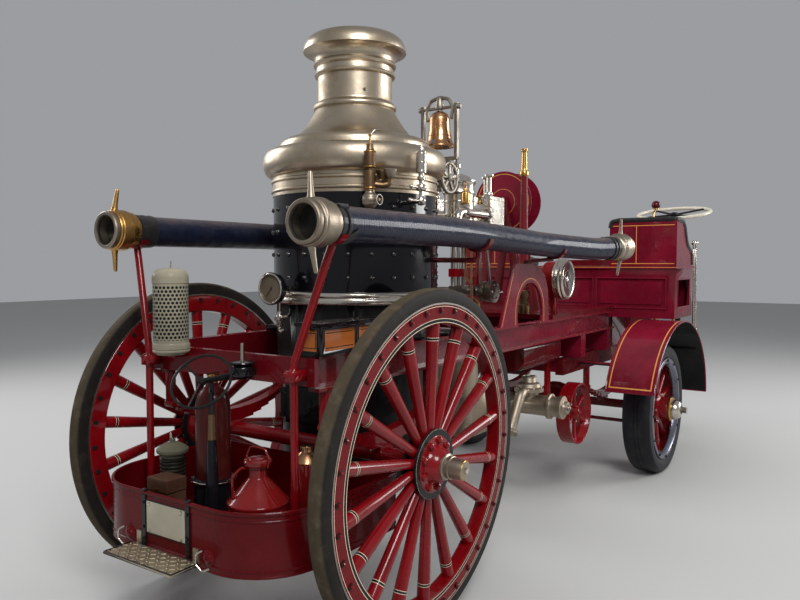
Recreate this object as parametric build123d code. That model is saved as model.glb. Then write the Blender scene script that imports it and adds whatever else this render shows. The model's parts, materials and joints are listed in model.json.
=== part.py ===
from build123d import *
from math import cos, pi, radians, sin
import os

# A steam fire engine drawn by a two-wheel motor tractor: an upright boiler with a nickel dome stands
# between tall wooden rear wheels, with the pump and its steam engine ahead of it, two long suction
# hoses along the sides, a tub for stores behind, and the tractor's seat, hood and driven front wheels.
# Millimetres, +X forward, +Y left, +Z up. Heights are above the floor. Lengths along X are measured
# from the rear axle, and save() moves each finished piece so that X 0 is the middle of the length.

# Overall
WHEELBASE = 3310
REAR_REACH = 990  # rear axle to the step's rear edge
FRONT_REACH = 1990  # front axle to the starting crank's end
MIDDLE_X = (WHEELBASE + FRONT_REACH - REAR_REACH) / 2

# Rear wheels: radii from outside to inside, then widths
REAR_R = 787
REAR_FELLOE_R = 716
REAR_FELLOE_IN = 628
REAR_TYRE_W = 76
REAR_FELLOE_W = 74
REAR_WHEEL_Y = 757  # tyre's middle plane, at hub height
CAMBER = 2.3
SPOKES = 18
SPOKE_START = 90
SPOKE_R_IN = 21
SPOKE_R_OUT = 31
HUB_R = 120
HUB_RING_R = 158
HUB_RING_T = 14
HUB_BOLT_R = 106
HUB_CAP_R = 50
HUB_IN = 85  # from the wheel's middle plane inward
HUB_OUT = 38  # and outward, to the bolted ring's face
HUB_CAP_LENGTH = 155
AXLE_R = 38
AXLE_ARM_R = 30
TREAD_EDGE = 18
REAR_AXLE_Z = REAR_R * cos(radians(CAMBER)) + (REAR_TYRE_W / 2 - TREAD_EDGE) * sin(radians(CAMBER))

# Front wheels
FRONT_R = 515
FRONT_TYRE_IN = 405
FRONT_RIM_IN = 368
FRONT_TYRE_W = 220
FRONT_RIM_W = 190
FRONT_WHEEL_Y = 847
FRONT_SPOKES = 12
FRONT_SPOKE_R = 24
FRONT_HUB_R = 105
FRONT_HUB_IN = 55
FRONT_HUB_OUT = 150
FRONT_CAP_LENGTH = 110
SPINDLE_R = 32

# Running clearances
SHAFT_GAP = 0.1
SEAT_GAP = 0.3

# Steering
KINGPIN_Y = 707
KINGPIN_R = 18
KINGPIN_BOSS_R = 42
KINGPIN_BOSS_H = 120
YOKE_ARM_H = 24
ARM_LENGTH = 180
ARM_W = 40
TIE_PIN_R = 14
TIE_ROD_R = 15
TIE_EYE_R = 27
TIE_EYE_H = 30
FRONT_AXLE_R = 35

# Steamer frame
RAIL_Y = 500
RAIL_W = 60
RAIL_Z = (1150, 1300)
RAIL_X = (-480, 3250)
REAR_BOARD_T = 30
REAR_BOARD_Z = (1175, 1290)
CRANE_X = (1160, 1890)
CRANE_TOP = 1680
CRANE_T = 16
ARCH_X = (1400, 1780)
ARCH_Z = (1345, 1560)

# Boiler
BOILER_X = 450
FIREBOX_R = 400
FIREBOX_WIDE_R = 430
FIREBOX_Z = (550, 1475)
BAND_R = 470
BAND_Z = (1475, 1540)
JACKET_R = 445
JACKET_TOP = 2035
DOME_BAND_R = 447.5
DOME_ROLL_R = 497
DOOR_Z = (880, 1050)
DOOR_FACE_X = 22  # face of the door's frame
HINGE_X = 8
HINGE_Y = 140
HINGE_R = 6
STACK_BORE_R = 180
STACK_BORE_DEPTH = 400
STACK_R = 202
STACK_TOP = 2905
STACK_LIP_R = 279

# Rear tub, step and the posts that stand in the tub
TUB_X = (-830, 0)
TUB_Y = 580
TUB_Z = (450, 715)
TUB_CORNER_R = 300
TUB_WALL = 6
STEP_W = 430
STEP_DEPTH = 140
STEP_T = 8
STEP_Z = 485  # top face
POST_X = -560
POST_Y = 463
POST_R = 17
POST_BEND_Z = 1270

# Suction hoses
HOSE_R = 75
HOSE_Y = 620
HOSE_Z = 1840
COUPLING_R = 98
COUPLING_BORE_R = 70
COUPLING_BORE_DEPTH = 60
COUPLING_LENGTH = 150
COUPLING_X = -680
LUG_X = 52  # from the mouth to the lugs
LUG_REACH = 200

# Tractor
TRACTOR_RAIL_Y = 420
TRACTOR_RAIL_Z = (860, 980)
TRACTOR_RAIL_X = (2350, 5080)
BODY_X = (3410, 3990)
BODY_Y = 970
BODY_Z = (1230, 1640)
BODY_WALL = 25
FLOOR_X = (3990, 4550)
FLOOR_Z = (1050, 1080)
FLOOR_Y = 900
SEAT_Y = (430, 1000)
SEAT_TOP = 2035
SEAT_T = 40
HOOD_X = (4580, 5080)
HOOD_Y = 360
HOOD_Z = (980, 1560)
RADIATOR_T = 110
FENDER_Y = (690, 1050)
FENDER_A = 865  # half its length along X
FENDER_B = 705  # height over the wheel's centre
FENDER_AHEAD = 80  # its middle, ahead of the wheel's
FENDER_REAR_CUT = 225  # its rear end, over the wheel's centre
FENDER_FRONT_CUT = 15
FENDER_T = 8
WHEEL_TILT = 12
STEERING_R = 305
STEERING_X = 4100
STEERING_Y = 780
STEERING_Z = 2130


def block(x, y, z):
    """Box between the low and high limits x, y and z."""
    middle = [(low + high) / 2 for low, high in (x, y, z)]
    size = [high - low for low, high in (x, y, z)]
    return Pos(*middle) * Box(*size)


def bar(start, end, r, r_end=None):
    """Round bar between two points, tapering to r_end."""
    start, end = Vector(*start), Vector(*end)
    place = Plane(origin=start, z_dir=end - start)
    base = (Align.CENTER, Align.CENTER, Align.MIN)
    length = (end - start).length
    if r_end is None:
        return place * Cylinder(r, length, align=base)
    return place * Cone(r, r_end, length, align=base)


def disc(at, axis, r, length, bore=0):
    """Disc from the point at along axis, with an optional bore."""
    place = Plane(origin=at, z_dir=axis)
    base = (Align.CENTER, Align.CENTER, Align.MIN)
    solid = Cylinder(r, length, align=base)
    if bore:
        solid -= Cylinder(bore, length, align=base)
    return place * solid


def turned(outline, at=(0, 0, 0), axis=(0, 0, 1)):
    """Solid turned from (radius, distance along axis) points."""
    points = [(r, 0, h) for r, h in outline]
    face = make_face(Polyline(*points, close=True))
    return Plane(origin=at, z_dir=axis) * revolve(face, Axis.Z)


def bent(points, r, bend):
    """Round bar along straight runs joined by arcs."""
    path = FilletPolyline(*points, radius=bend)
    return sweep(Plane(origin=path @ 0, z_dir=path % 0) * Circle(r), path)


def mirrored(shape):
    """The same shape on the other side of the middle line."""
    return mirror(shape, about=Plane.XZ)


def pair(shape):
    """A right-hand shape and its left-hand twin."""
    return shape + mirrored(shape)


def save(name, shape):
    """Write one piece in the finished frame."""
    export_step(Pos(-MIDDLE_X, 0, 0) * shape, f"parts/{name}.step")


def wheel_plane(y, z, camber=0, x=0):
    """Frame on a right-hand wheel's middle plane, its Z pointing outward."""
    tilt = radians(camber)
    return Plane(origin=(x, -y, z), x_dir=(1, 0, 0), z_dir=(0, -cos(tilt), -sin(tilt)))


def hoop(r, r_wire):
    """Round wire ring about local Z."""
    return revolve(Plane.XZ * (Pos(r, 0) * Circle(r_wire)), Axis.Z)


def ring(r_out, r_in, width, middle=0):
    """Ring about local Z, centred on a height."""
    return Pos(0, 0, middle) * (Cylinder(r_out, width) - Cylinder(r_in, width))


# Rear wheels


def rear_wheel():
    """Wooden wheel with its hub, axis on local Z, outward up."""
    wheel = ring(REAR_FELLOE_R, REAR_FELLOE_IN, REAR_FELLOE_W)
    back = HUB_OUT - HUB_RING_T
    outline = [
        (0, -HUB_IN), (HUB_R - 30, -HUB_IN), (HUB_R, -HUB_IN + 40), (HUB_R, -HUB_OUT), (HUB_RING_R, -HUB_OUT),
        (HUB_RING_R, -back), (HUB_R + 10, -back), (HUB_R + 10, back), (HUB_RING_R, back),
        (HUB_RING_R, HUB_OUT), (88, HUB_OUT), (80, HUB_OUT + 24), (68, HUB_OUT + 50), (HUB_CAP_R + 8, HUB_OUT + 58),
        (HUB_CAP_R + 6, HUB_OUT + 66), (HUB_CAP_R, HUB_OUT + 68), (HUB_CAP_R - 9, HUB_OUT + HUB_CAP_LENGTH - 4),
        (HUB_CAP_R - 13, HUB_OUT + HUB_CAP_LENGTH), (0, HUB_OUT + HUB_CAP_LENGTH),
    ]
    wheel += turned(outline)
    for i in range(SPOKES):
        angle = 360 / SPOKES * (i + 0.5)
        spoke = bar((SPOKE_START, 0, 0), (REAR_FELLOE_IN + 20, 0, 0), SPOKE_R_IN, SPOKE_R_OUT)
        wheel += Rot(0, 0, angle) * spoke
    bolt = turned([(0, -1), (13, -1), (13, 5), (9, 11), (0, 13)])
    for i in range(SPOKES // 2):
        wheel += Rot(0, 0, 720 / SPOKES * i) * (Pos(HUB_BOLT_R, 0, HUB_OUT) * bolt)
    arm = HUB_IN + HUB_OUT
    return wheel - Pos(0, 0, -HUB_IN + arm / 2) * Cylinder(AXLE_ARM_R + SHAFT_GAP, arm)


def rear_tyre():
    """Solid rubber tyre with rounded edges."""
    half = REAR_TYRE_W / 2
    edge = TREAD_EDGE
    outline = [
        (REAR_FELLOE_R, -half), (REAR_R - edge, -half), (REAR_R - 5, -half + 6), (REAR_R, -half + edge),
        (REAR_R, half - edge), (REAR_R - 5, half - 6), (REAR_R - edge, half), (REAR_FELLOE_R, half),
    ]
    return turned(outline)


REAR_PLACE = wheel_plane(REAR_WHEEL_Y, REAR_AXLE_Z, CAMBER)
rear_wheel_right = REAR_PLACE * rear_wheel()
rear_tyre_right = REAR_PLACE * rear_tyre()

# Front wheels


def front_wheel():
    """Cast wheel with a bolted rim, axis on local Z."""
    wheel = ring(FRONT_TYRE_IN, FRONT_RIM_IN, FRONT_RIM_W)
    wheel += ring(FRONT_RIM_IN + 5, FRONT_RIM_IN - 28, 60)
    outline = [
        (0, -FRONT_HUB_IN), (FRONT_HUB_R - 10, -FRONT_HUB_IN), (FRONT_HUB_R + 15, -30),
        (FRONT_HUB_R + 15, 35), (FRONT_HUB_R - 15, 60), (FRONT_HUB_R - 20, FRONT_HUB_OUT - 20),
        (FRONT_HUB_R - 8, FRONT_HUB_OUT - 20), (FRONT_HUB_R - 8, FRONT_HUB_OUT), (62, FRONT_HUB_OUT),
        (55, FRONT_HUB_OUT + 70), (0, FRONT_HUB_OUT + 70),
    ]
    wheel += turned(outline)
    square_end = FRONT_HUB_OUT + FRONT_CAP_LENGTH
    wheel += Pos(0, 0, square_end - 25) * Box(62, 62, 50)
    for i in range(FRONT_SPOKES):
        spoke = bar((0, 0, 0), (FRONT_RIM_IN - 10, 0, 0), FRONT_SPOKE_R, FRONT_SPOKE_R - 4)
        wheel += Rot(0, 0, 360 / FRONT_SPOKES * i) * spoke
    arm = FRONT_HUB_IN + 80
    return wheel - Pos(0, 0, -FRONT_HUB_IN + arm / 2) * Cylinder(SPINDLE_R + SHAFT_GAP, arm)


def front_tyre():
    """Wide solid tyre with a crowned tread."""
    half = FRONT_TYRE_W / 2
    outline = [
        (FRONT_TYRE_IN, -half + 8), (FRONT_R - 60, -half), (FRONT_R - 22, -half + 14),
        (FRONT_R - 4, -half + 48), (FRONT_R, -20), (FRONT_R, 20), (FRONT_R - 4, half - 48),
        (FRONT_R - 22, half - 14), (FRONT_R - 60, half), (FRONT_TYRE_IN, half - 8),
    ]
    return turned(outline)


FRONT_PLACE = wheel_plane(FRONT_WHEEL_Y, FRONT_R, 0, WHEELBASE)
front_wheel_right = FRONT_PLACE * front_wheel()
front_tyre_right = FRONT_PLACE * front_tyre()

# Front axle and steering


def front_axle():
    """Driven front axle: round casing, middle gear case, kingpin bosses and spring pads."""
    axle = bar((WHEELBASE, -KINGPIN_Y, FRONT_R), (WHEELBASE, KINGPIN_Y, FRONT_R), FRONT_AXLE_R)
    case = [(0, -150), (50, -150), (120, -80), (135, -30), (135, 30), (120, 80), (50, 150), (0, 150)]
    axle += turned(case, (WHEELBASE, 0, FRONT_R), (0, 1, 0))
    low = FRONT_R - KINGPIN_BOSS_H / 2
    for y in (-KINGPIN_Y, KINGPIN_Y):
        axle += disc((WHEELBASE, y, low), (0, 0, 1), KINGPIN_BOSS_R, KINGPIN_BOSS_H)
        axle -= disc((WHEELBASE, y, low), (0, 0, 1), KINGPIN_R + SHAFT_GAP, KINGPIN_BOSS_H)
    pad = block((WHEELBASE - 50, WHEELBASE + 50), (-450, -390), (FRONT_R, FRONT_R + 55))
    return axle + pair(pad)


def knuckle():
    """Right-hand steering knuckle: yoke with its pin, wheel spindle and rearward arm."""
    inner = KINGPIN_BOSS_H / 2 + 1
    outer = inner + YOKE_ARM_H
    plate_y = (KINGPIN_Y + 48, KINGPIN_Y + 68)
    piece = block((WHEELBASE - 42, WHEELBASE + 42), (-plate_y[1], -plate_y[0]), (FRONT_R - outer, FRONT_R + outer))
    for z in (FRONT_R + inner, FRONT_R - outer):
        piece += block((WHEELBASE - 42, WHEELBASE + 42), (-plate_y[0], -KINGPIN_Y), (z, z + YOKE_ARM_H))
        piece += disc((WHEELBASE, -KINGPIN_Y, z), (0, 0, 1), 42, YOKE_ARM_H)
    piece += disc((WHEELBASE, -KINGPIN_Y, FRONT_R - inner), (0, 0, 1), KINGPIN_R, 2 * inner)
    spindle_end = FRONT_WHEEL_Y + 70
    piece += bar((WHEELBASE, -plate_y[1], FRONT_R), (WHEELBASE, -spindle_end, FRONT_R), SPINDLE_R)
    arm_z = (FRONT_R - outer, FRONT_R - inner)
    arm_end = WHEELBASE - ARM_LENGTH
    piece += block((arm_end, WHEELBASE - 30), (-KINGPIN_Y - ARM_W / 2, -KINGPIN_Y + ARM_W / 2), arm_z)
    piece += disc((arm_end, -KINGPIN_Y, arm_z[0]), (0, 0, 1), ARM_W / 2, YOKE_ARM_H)
    pin_low = arm_z[0] - TIE_EYE_H - 4
    return piece + disc((arm_end, -KINGPIN_Y, pin_low), (0, 0, 1), TIE_PIN_R, TIE_EYE_H + 4)


def tie_rod():
    """Cross rod between the arms, with an eye at each end; the right eye is the loose one."""
    x = WHEELBASE - ARM_LENGTH
    arm_low = FRONT_R - KINGPIN_BOSS_H / 2 - 1 - YOKE_ARM_H
    low = arm_low - TIE_EYE_H - 2
    z = low + TIE_EYE_H / 2
    rod = bar((x, -KINGPIN_Y, z), (x, KINGPIN_Y, z), TIE_ROD_R - 1)
    for y in (-KINGPIN_Y, KINGPIN_Y):
        rod += disc((x, y, low), (0, 0, 1), TIE_EYE_R, TIE_EYE_H)
    rod -= disc((x, KINGPIN_Y, low), (0, 0, 1), TIE_PIN_R + SHAFT_GAP, TIE_EYE_H)
    return rod - disc((x, -KINGPIN_Y, low), (0, 0, 1), TIE_PIN_R + 2, TIE_EYE_H)


# Springs


def leaf_spring(x, y, width, z, half, rise, leaves, leaf_t, hang_z):
    """Half-elliptic spring pack on its axle pad, with hangers up to the frame."""
    middle_r = (half * half + rise * rise) / (2 * rise)
    centre_z = z + leaves * leaf_t + middle_r
    pack = None
    for i in range(leaves):
        reach = half * (1 - i / (leaves + 1.0))
        r_in = middle_r + i * leaf_t
        r_out = r_in + leaf_t
        angle = reach / middle_r
        left, right = pi / 2 + angle, pi / 2 - angle
        points = [(r * cos(a), -r * sin(a)) for r, a in
                  ((r_in, left), (r_in, pi / 2), (r_in, right), (r_out, right), (r_out, pi / 2), (r_out, left))]
        inner = ThreePointArc(*points[0:3])
        outer = ThreePointArc(*points[3:6])
        edge = inner + Line(points[2], points[3]) + outer + Line(points[5], points[0])
        leaf = extrude(Plane.XZ * make_face(edge), width / 2, both=True)
        pack = leaf if pack is None else pack + leaf
    pack = Pos(x, y, centre_z) * pack
    tip_x = middle_r * sin(half / middle_r)
    tip_z = centre_z - middle_r * cos(half / middle_r)
    for side in (-1, 1):
        tip = x + side * tip_x
        pack += bar((tip, y - width / 2, tip_z), (tip, y + width / 2, tip_z), 18)
        pack += block((tip - 14, tip + 14), (y - width / 2 + 8, y + width / 2 - 8), (tip_z, hang_z))
    return pack


# Rear axle


def rear_axle():
    """Round axle with cambered arms for the wheels and pads for the springs."""
    inner_y = REAR_WHEEL_Y - HUB_IN - 12
    axle = bar((0, -inner_y, REAR_AXLE_Z), (0, inner_y, REAR_AXLE_Z), AXLE_R)
    arm = REAR_PLACE * (Pos(0, 0, -HUB_IN - 20) * Cylinder(
        AXLE_ARM_R, HUB_IN + HUB_OUT + 10, align=(Align.CENTER, Align.CENTER, Align.MIN)))
    collar = REAR_PLACE * (Pos(0, 0, -HUB_IN - 14) * Cylinder(
        55, 13, align=(Align.CENTER, Align.CENTER, Align.MIN)))
    axle += pair(arm + collar)
    pad = block((-50, 50), (-530, -470), (REAR_AXLE_Z, REAR_AXLE_Z + 46))
    return axle + pair(pad)


# Steamer frame


def rail_right():
    """Channel-deep side rail with the crane-neck plate and its arched opening."""
    half = RAIL_W / 2
    rail = block(RAIL_X, (-RAIL_Y - half, -RAIL_Y + half), RAIL_Z)
    rail -= block((RAIL_X[0] - 1, RAIL_X[1] + 1), (-RAIL_Y - half - 1, -RAIL_Y + half - 14),
                  (RAIL_Z[0] + 14, RAIL_Z[1] - 14))
    plate_y = (-RAIL_Y - half, -RAIL_Y - half + CRANE_T)
    foot = RAIL_Z[1] - 14
    outline = [(CRANE_X[0], foot), (CRANE_X[1], foot), (CRANE_X[1] - 20, CRANE_TOP - 170),
               (CRANE_X[1] - 70, CRANE_TOP - 80), (CRANE_X[1] - 160, CRANE_TOP - 20),
               (CRANE_X[1] - 280, CRANE_TOP), (CRANE_X[0] + 220, CRANE_TOP), (CRANE_X[0] + 160, CRANE_TOP - 40)]
    face = make_face(Polyline(*[(x, 0, z) for x, z in outline], close=True))
    rail += Pos(0, plate_y[1], 0) * extrude(face, CRANE_T, dir=(0, -1, 0))
    radius = (ARCH_X[1] - ARCH_X[0]) / 2
    arch_middle = (ARCH_X[0] + ARCH_X[1]) / 2
    rail -= block(ARCH_X, (plate_y[0] - 5, plate_y[1] + 5), (ARCH_Z[0], ARCH_Z[1] - radius))
    return rail - disc((arch_middle, plate_y[1] + 5, ARCH_Z[1] - radius), (0, -1, 0), radius, CRANE_T + 10)


def frame_cross():
    """Rear board and the cross members between the rails."""
    inner = RAIL_Y - RAIL_W / 2
    outer = RAIL_Y + RAIL_W / 2
    cross = block((RAIL_X[0] - REAR_BOARD_T, RAIL_X[0]), (-outer, outer), REAR_BOARD_Z)
    for x in (1080, 2080, 3130):
        cross += block((x, x + 60), (-inner, inner), (RAIL_Z[0] + 15, RAIL_Z[1] - 15))
    return cross


# Boiler


def firebox():
    """Dark firebox with its ash-pan foot and the lugs that stand on the rails."""
    outline = [(0, FIREBOX_Z[0]), (FIREBOX_R - 20, FIREBOX_Z[0]), (FIREBOX_R, FIREBOX_Z[0] + 40),
               (FIREBOX_R, 1150), (FIREBOX_WIDE_R, 1200), (FIREBOX_WIDE_R, FIREBOX_Z[1]), (0, FIREBOX_Z[1])]
    body = turned(outline, (BOILER_X, 0, 0))
    for x in (BOILER_X - 160, BOILER_X + 100):
        body += pair(block((x, x + 60), (-RAIL_Y - 30, -300), (RAIL_Z[1], RAIL_Z[1] + 30)))
    rear = BOILER_X - FIREBOX_R
    body += block((DOOR_FACE_X, rear + 60), (-130, 130), (DOOR_Z[0] - 20, DOOR_Z[1] + 20))
    body -= block((DOOR_FACE_X - 1, 150), (-95, 95), (DOOR_Z[0] + 10, DOOR_Z[1] - 10))
    for z in (DOOR_Z[0] + 12, DOOR_Z[1] - 32):
        ear = block((HINGE_X - 10, DOOR_FACE_X + 20), (HINGE_Y - 16, HINGE_Y + 12), (z, z + 20))
        ear = ear - disc((HINGE_X, HINGE_Y, z), (0, 0, 1), HINGE_R + SHAFT_GAP, 20)
        body += ear
    return body


def fire_door():
    """Cast fire door on its hinge pin, with a latch handle."""
    plate = block((DOOR_FACE_X - 13, DOOR_FACE_X - SEAT_GAP - 0.7), (-112, HINGE_Y - 24), DOOR_Z)
    low, high = DOOR_Z[0] + 12, DOOR_Z[1] - 32
    plate += block((HINGE_X - 8, HINGE_X + 4), (HINGE_Y - 26, HINGE_Y), (low + 22, high - 2))
    plate += disc((HINGE_X, HINGE_Y, low + 22), (0, 0, 1), 9, high - 2 - low - 22)
    plate += disc((HINGE_X, HINGE_Y, low), (0, 0, 1), HINGE_R, high + 20 - low)
    middle = (DOOR_Z[0] + DOOR_Z[1]) / 2
    plate += disc((DOOR_FACE_X - 12, 0, middle), (-1, 0, 0), 60, 8)
    return plate + bar((DOOR_FACE_X - 12, -85, middle), (DOOR_FACE_X - 60, -85, middle), 9)


def boiler_jacket():
    """Black sheet jacket over the boiler."""
    return disc((BOILER_X, 0, BAND_Z[1]), (0, 0, 1), JACKET_R, JACKET_TOP - BAND_Z[1])


def boiler_dome():
    """Nickel-plated dome and stack, open at the mouth, and the bright band below the jacket."""
    r, foot, top = DOME_BAND_R, JACKET_TOP, STACK_TOP
    lines = Polyline((0, foot), (r, foot), (r, foot + 18), (r + 8, foot + 22), (r + 8, foot + 32), (r, foot + 36),
                     (r, foot + 70), (r + 8, foot + 74), (r + 8, foot + 84), (r, foot + 88), (r, foot + 104))
    lines += ThreePointArc((r, foot + 104), (DOME_ROLL_R, foot + 176), (r, foot + 248))
    lines += Polyline((r, foot + 248), (410, foot + 254), (410, foot + 260))
    lines += ThreePointArc((410, foot + 260), (395, foot + 293), (365, foot + 313))
    lines += Line((365, foot + 313), (352, foot + 318))
    lines += ThreePointArc((352, foot + 318), (256, foot + 385), (216, foot + 470))
    neck = min(foot + 494, top - 376)
    lines += Polyline((216, foot + 470), (224, neck), (224, neck + 18), (STACK_R, neck + 28),
                      (STACK_R, top - 222), (220, top - 216), (220, top - 204), (209, top - 198), (209, top - 172),
                      (224, top - 164), (224, top - 148), (214, top - 140))
    lines += ThreePointArc((214, top - 140), (236, top - 106), (STACK_LIP_R, top - 86))
    lines += ThreePointArc((STACK_LIP_R, top - 86), (270, top - 34), (206, top))
    lines += Polyline((206, top), (0, top), (0, foot))
    dome = revolve(Plane.XZ * make_face(lines), Axis.Z)
    dome -= Pos(0, 0, top - STACK_BORE_DEPTH / 2) * Cylinder(STACK_BORE_R, STACK_BORE_DEPTH)
    band = turned([(0, BAND_Z[0]), (440, BAND_Z[0]), (444, BAND_Z[0] + 12), (BAND_R - 6, BAND_Z[0] + 14),
                   (BAND_R, BAND_Z[0] + 22), (BAND_R, BAND_Z[1] - 6), (BAND_R - 6, BAND_Z[1]), (0, BAND_Z[1])])
    return Pos(BOILER_X, 0, 0) * (dome + band)


# Rear tub, step and posts


def tub_outline(grow):
    """Plan of the tub, rounded at the rear corners, grown by an offset."""
    face = Rectangle(TUB_X[1] - TUB_X[0] + 2 * grow, 2 * (TUB_Y + grow))
    rear = face.vertices().sort_by(Axis.X)[0:2]
    return Pos((TUB_X[0] + TUB_X[1]) / 2, 0) * fillet(rear, TUB_CORNER_R + grow)


def rear_tub():
    """Open tub with a rolled rim, two straps and the blank plate's two bosses."""
    tub = Pos(0, 0, TUB_Z[0]) * extrude(tub_outline(0), TUB_Z[1] - TUB_Z[0])
    tub += Pos(0, 0, TUB_Z[1] - 16) * extrude(tub_outline(7), 16)
    tub -= Pos(0, 0, TUB_Z[0] + TUB_WALL) * extrude(tub_outline(-TUB_WALL), TUB_Z[1] - TUB_Z[0])
    low, high = TUB_Z
    for y in (-130, 150):
        tub += block((TUB_X[0] - 6, TUB_X[0] + 1), (y - 12, y + 12), (low, high - 16))
    tub += block((TUB_X[0] - 5, TUB_X[0] + 1), (-118, 138), (low + 85, high - 35))
    for y in (-250, 250):
        tub += disc((TUB_X[0] + 1, y, low + 60), (-1, 0, 0), 32, 16)
    return tub


def rear_step():
    """Plated step on two brackets at the tub's back."""
    plate = block((-REAR_REACH, -REAR_REACH + STEP_DEPTH), (-STEP_W / 2, STEP_W / 2), (STEP_Z - STEP_T, STEP_Z))
    low = STEP_Z - STEP_T
    for y in (-180, 180):
        plate += block((-REAR_REACH + 20, TUB_X[0]), (y - 15, y + 15), (low - 10, low))
        plate += block((TUB_X[0] - 10, TUB_X[0]), (y - 15, y + 15), (low - 10, low + 60))
    return plate


def rear_posts():
    """Bent tubes from the tub up to the hoses, with the clamps on the rear board."""
    top_x = COUPLING_X + COUPLING_LENGTH + 28
    top_z = HOSE_Z - HOSE_R - 10
    post = bent([(POST_X, -POST_Y, TUB_Z[0] + TUB_WALL), (POST_X, -POST_Y, POST_BEND_Z),
                 (top_x - 8, -HOSE_Y + 22, top_z - 60), (top_x, -HOSE_Y, top_z)], POST_R, 40)
    clamp_z = (REAR_BOARD_Z[0] + 25, REAR_BOARD_Z[0] + 70)
    post += block((POST_X - 26, RAIL_X[0] - REAR_BOARD_T), (-POST_Y - 26, -POST_Y + 26), clamp_z)
    post += disc((POST_X, -POST_Y + 10, clamp_z[0] + 22), (0, 1, 0), 16, 34)
    cradle = disc((top_x - 18, -HOSE_Y, HOSE_Z), (1, 0, 0), HOSE_R + 11, 36)
    cradle -= disc((top_x - 18, -HOSE_Y, HOSE_Z), (1, 0, 0), HOSE_R + SEAT_GAP, 36)
    cradle -= block((top_x - 30, top_x + 30), (-HOSE_Y - 120, -HOSE_Y + 120), (HOSE_Z - 45, HOSE_Z + 120))
    return pair(post + cradle)


# Suction hoses
RIGHT_ROUTE = [(COUPLING_X + COUPLING_LENGTH, -HOSE_Y, HOSE_Z), (500, -HOSE_Y, HOSE_Z),
               (1500, -HOSE_Y - 20, HOSE_Z - 40), (2080, -HOSE_Y - 142, HOSE_Z - 61),
               (2300, -HOSE_Y - 200, HOSE_Z - 50)]


def hose(route):
    """Heavy suction hose along its slack line."""
    return bent(route, HOSE_R, [1500] * (len(route) - 2))


def coupling(at, direction):
    """Hose coupling with a deep mouth, a shoulder, a long barrel and two tapered lugs."""
    end, deep = COUPLING_LENGTH, COUPLING_BORE_DEPTH
    outline = [(COUPLING_BORE_R, 0), (COUPLING_R - 14, 0), (COUPLING_R - 8, 6), (COUPLING_R - 8, 22),
               (COUPLING_R - 12, 26), (COUPLING_R - 3, 32), (COUPLING_R, 38), (COUPLING_R, end - 50),
               (COUPLING_R - 6, end - 34), (COUPLING_R - 10, end - 14), (HOSE_R + 4, end - 8), (HOSE_R + 4, end),
               (0, end), (0, deep), (COUPLING_BORE_R, deep)]
    body = turned(outline)
    for side in (-1, 1):
        lug = bar((side * (COUPLING_R - 8), 0, LUG_X), (side * LUG_REACH, side * 16, LUG_X + 14), 15, 9)
        body += lug
    return Plane(origin=at, x_dir=(0, 0, 1), z_dir=direction) * body


def hose_saddles():
    """Painted arms that carry the hoses beside the boiler and the frame."""
    cradle = disc((700, -HOSE_Y, HOSE_Z - 12), (1, 0, 0), HOSE_R + 12, 40)
    cradle -= block((690, 750), (-HOSE_Y - 120, -HOSE_Y + 120), (HOSE_Z - 30, HOSE_Z + 120))
    arm = bent([(720, -HOSE_Y, HOSE_Z - 90), (720, -HOSE_Y, 1700), (640, -420, 1700), (600, -300, 1700)], 14, 30)
    foot_y = -RAIL_Y - RAIL_W / 2 + CRANE_T
    post = disc((1560, foot_y, CRANE_TOP), (0, 0, 1), 20, 22)
    post += bar((1560, foot_y, CRANE_TOP + 14), (1645, -HOSE_Y - 40, HOSE_Z - 130), 12)
    strap = disc((1630, -HOSE_Y - 46, HOSE_Z - 46), (1, 0, 0), HOSE_R + 10, 34)
    strap -= block((1620, 1680), (-HOSE_Y - 170, -HOSE_Y + 120), (HOSE_Z - 70, HOSE_Z + 120))
    return pair(cradle + arm + post + strap)


# Stores in the tub
FLOOR = TUB_Z[0] + TUB_WALL


CAN_X, CAN_Y = -600, -295
BOTTLE_X, BOTTLE_Y = -562, 20


def fuel_can():
    """Round-shouldered fuel can with a filler neck and a bail."""
    can = turned([(0, 0), (122, 0), (128, 8), (128, 226), (130, 240), (116, 250), (42, 340), (42, 382), (58, 387),
                  (58, 408), (0, 416)], (CAN_X, CAN_Y, FLOOR))
    bail = bent([(CAN_X, CAN_Y - 52, FLOOR + 310), (CAN_X, CAN_Y - 84, FLOOR + 462), (CAN_X, CAN_Y + 84, FLOOR + 462),
                 (CAN_X, CAN_Y + 52, FLOOR + 310)], 5, 60)
    return can + bail


def extinguisher():
    """Upright extinguisher in its bucket, with the valve, and the horn against its side."""
    bottle = turned([(0, 0), (88, 0), (96, 262), (102, 266), (102, 280), (84, 286), (76, 292), (76, 590), (66, 640),
                     (44, 672), (20, 690), (20, 742), (0, 742)], (BOTTLE_X, BOTTLE_Y, FLOOR))
    x, y = BOTTLE_X - 66, BOTTLE_Y - 66
    horn = bent([(BOTTLE_X, BOTTLE_Y, FLOOR + 718), (x, y, FLOOR + 722), (x, y, FLOOR + 500)], 10, 30)
    horn += bar((x, y, FLOOR + 530), (x - 20, y - 20, FLOOR + 140), 14, 34)
    return bottle + horn


def red_can():
    """Tall round can that stands by the right wheel."""
    return turned([(0, 0), (62, 0), (62, 372), (56, 384), (34, 410), (26, 414), (26, 434), (0, 440)],
                  (-400, -388, FLOOR))


def lantern():
    """Hand lantern with a wide vented lid."""
    return turned([(0, 0), (66, 0), (66, 60), (54, 68), (54, 250), (60, 256), (60, 330), (52, 336), (52, 352),
                   (72, 362), (72, 374), (40, 398), (12, 404), (12, 422), (0, 424)], (-592, 262, FLOOR))


def store_box():
    """Small wooden box in front of the lantern."""
    return block((-775, -672), (72, 205), (FLOOR, FLOOR + 300))


STRAINER_X, STRAINER_Y, STRAINER_Z = -600, 250, 1268


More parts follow.
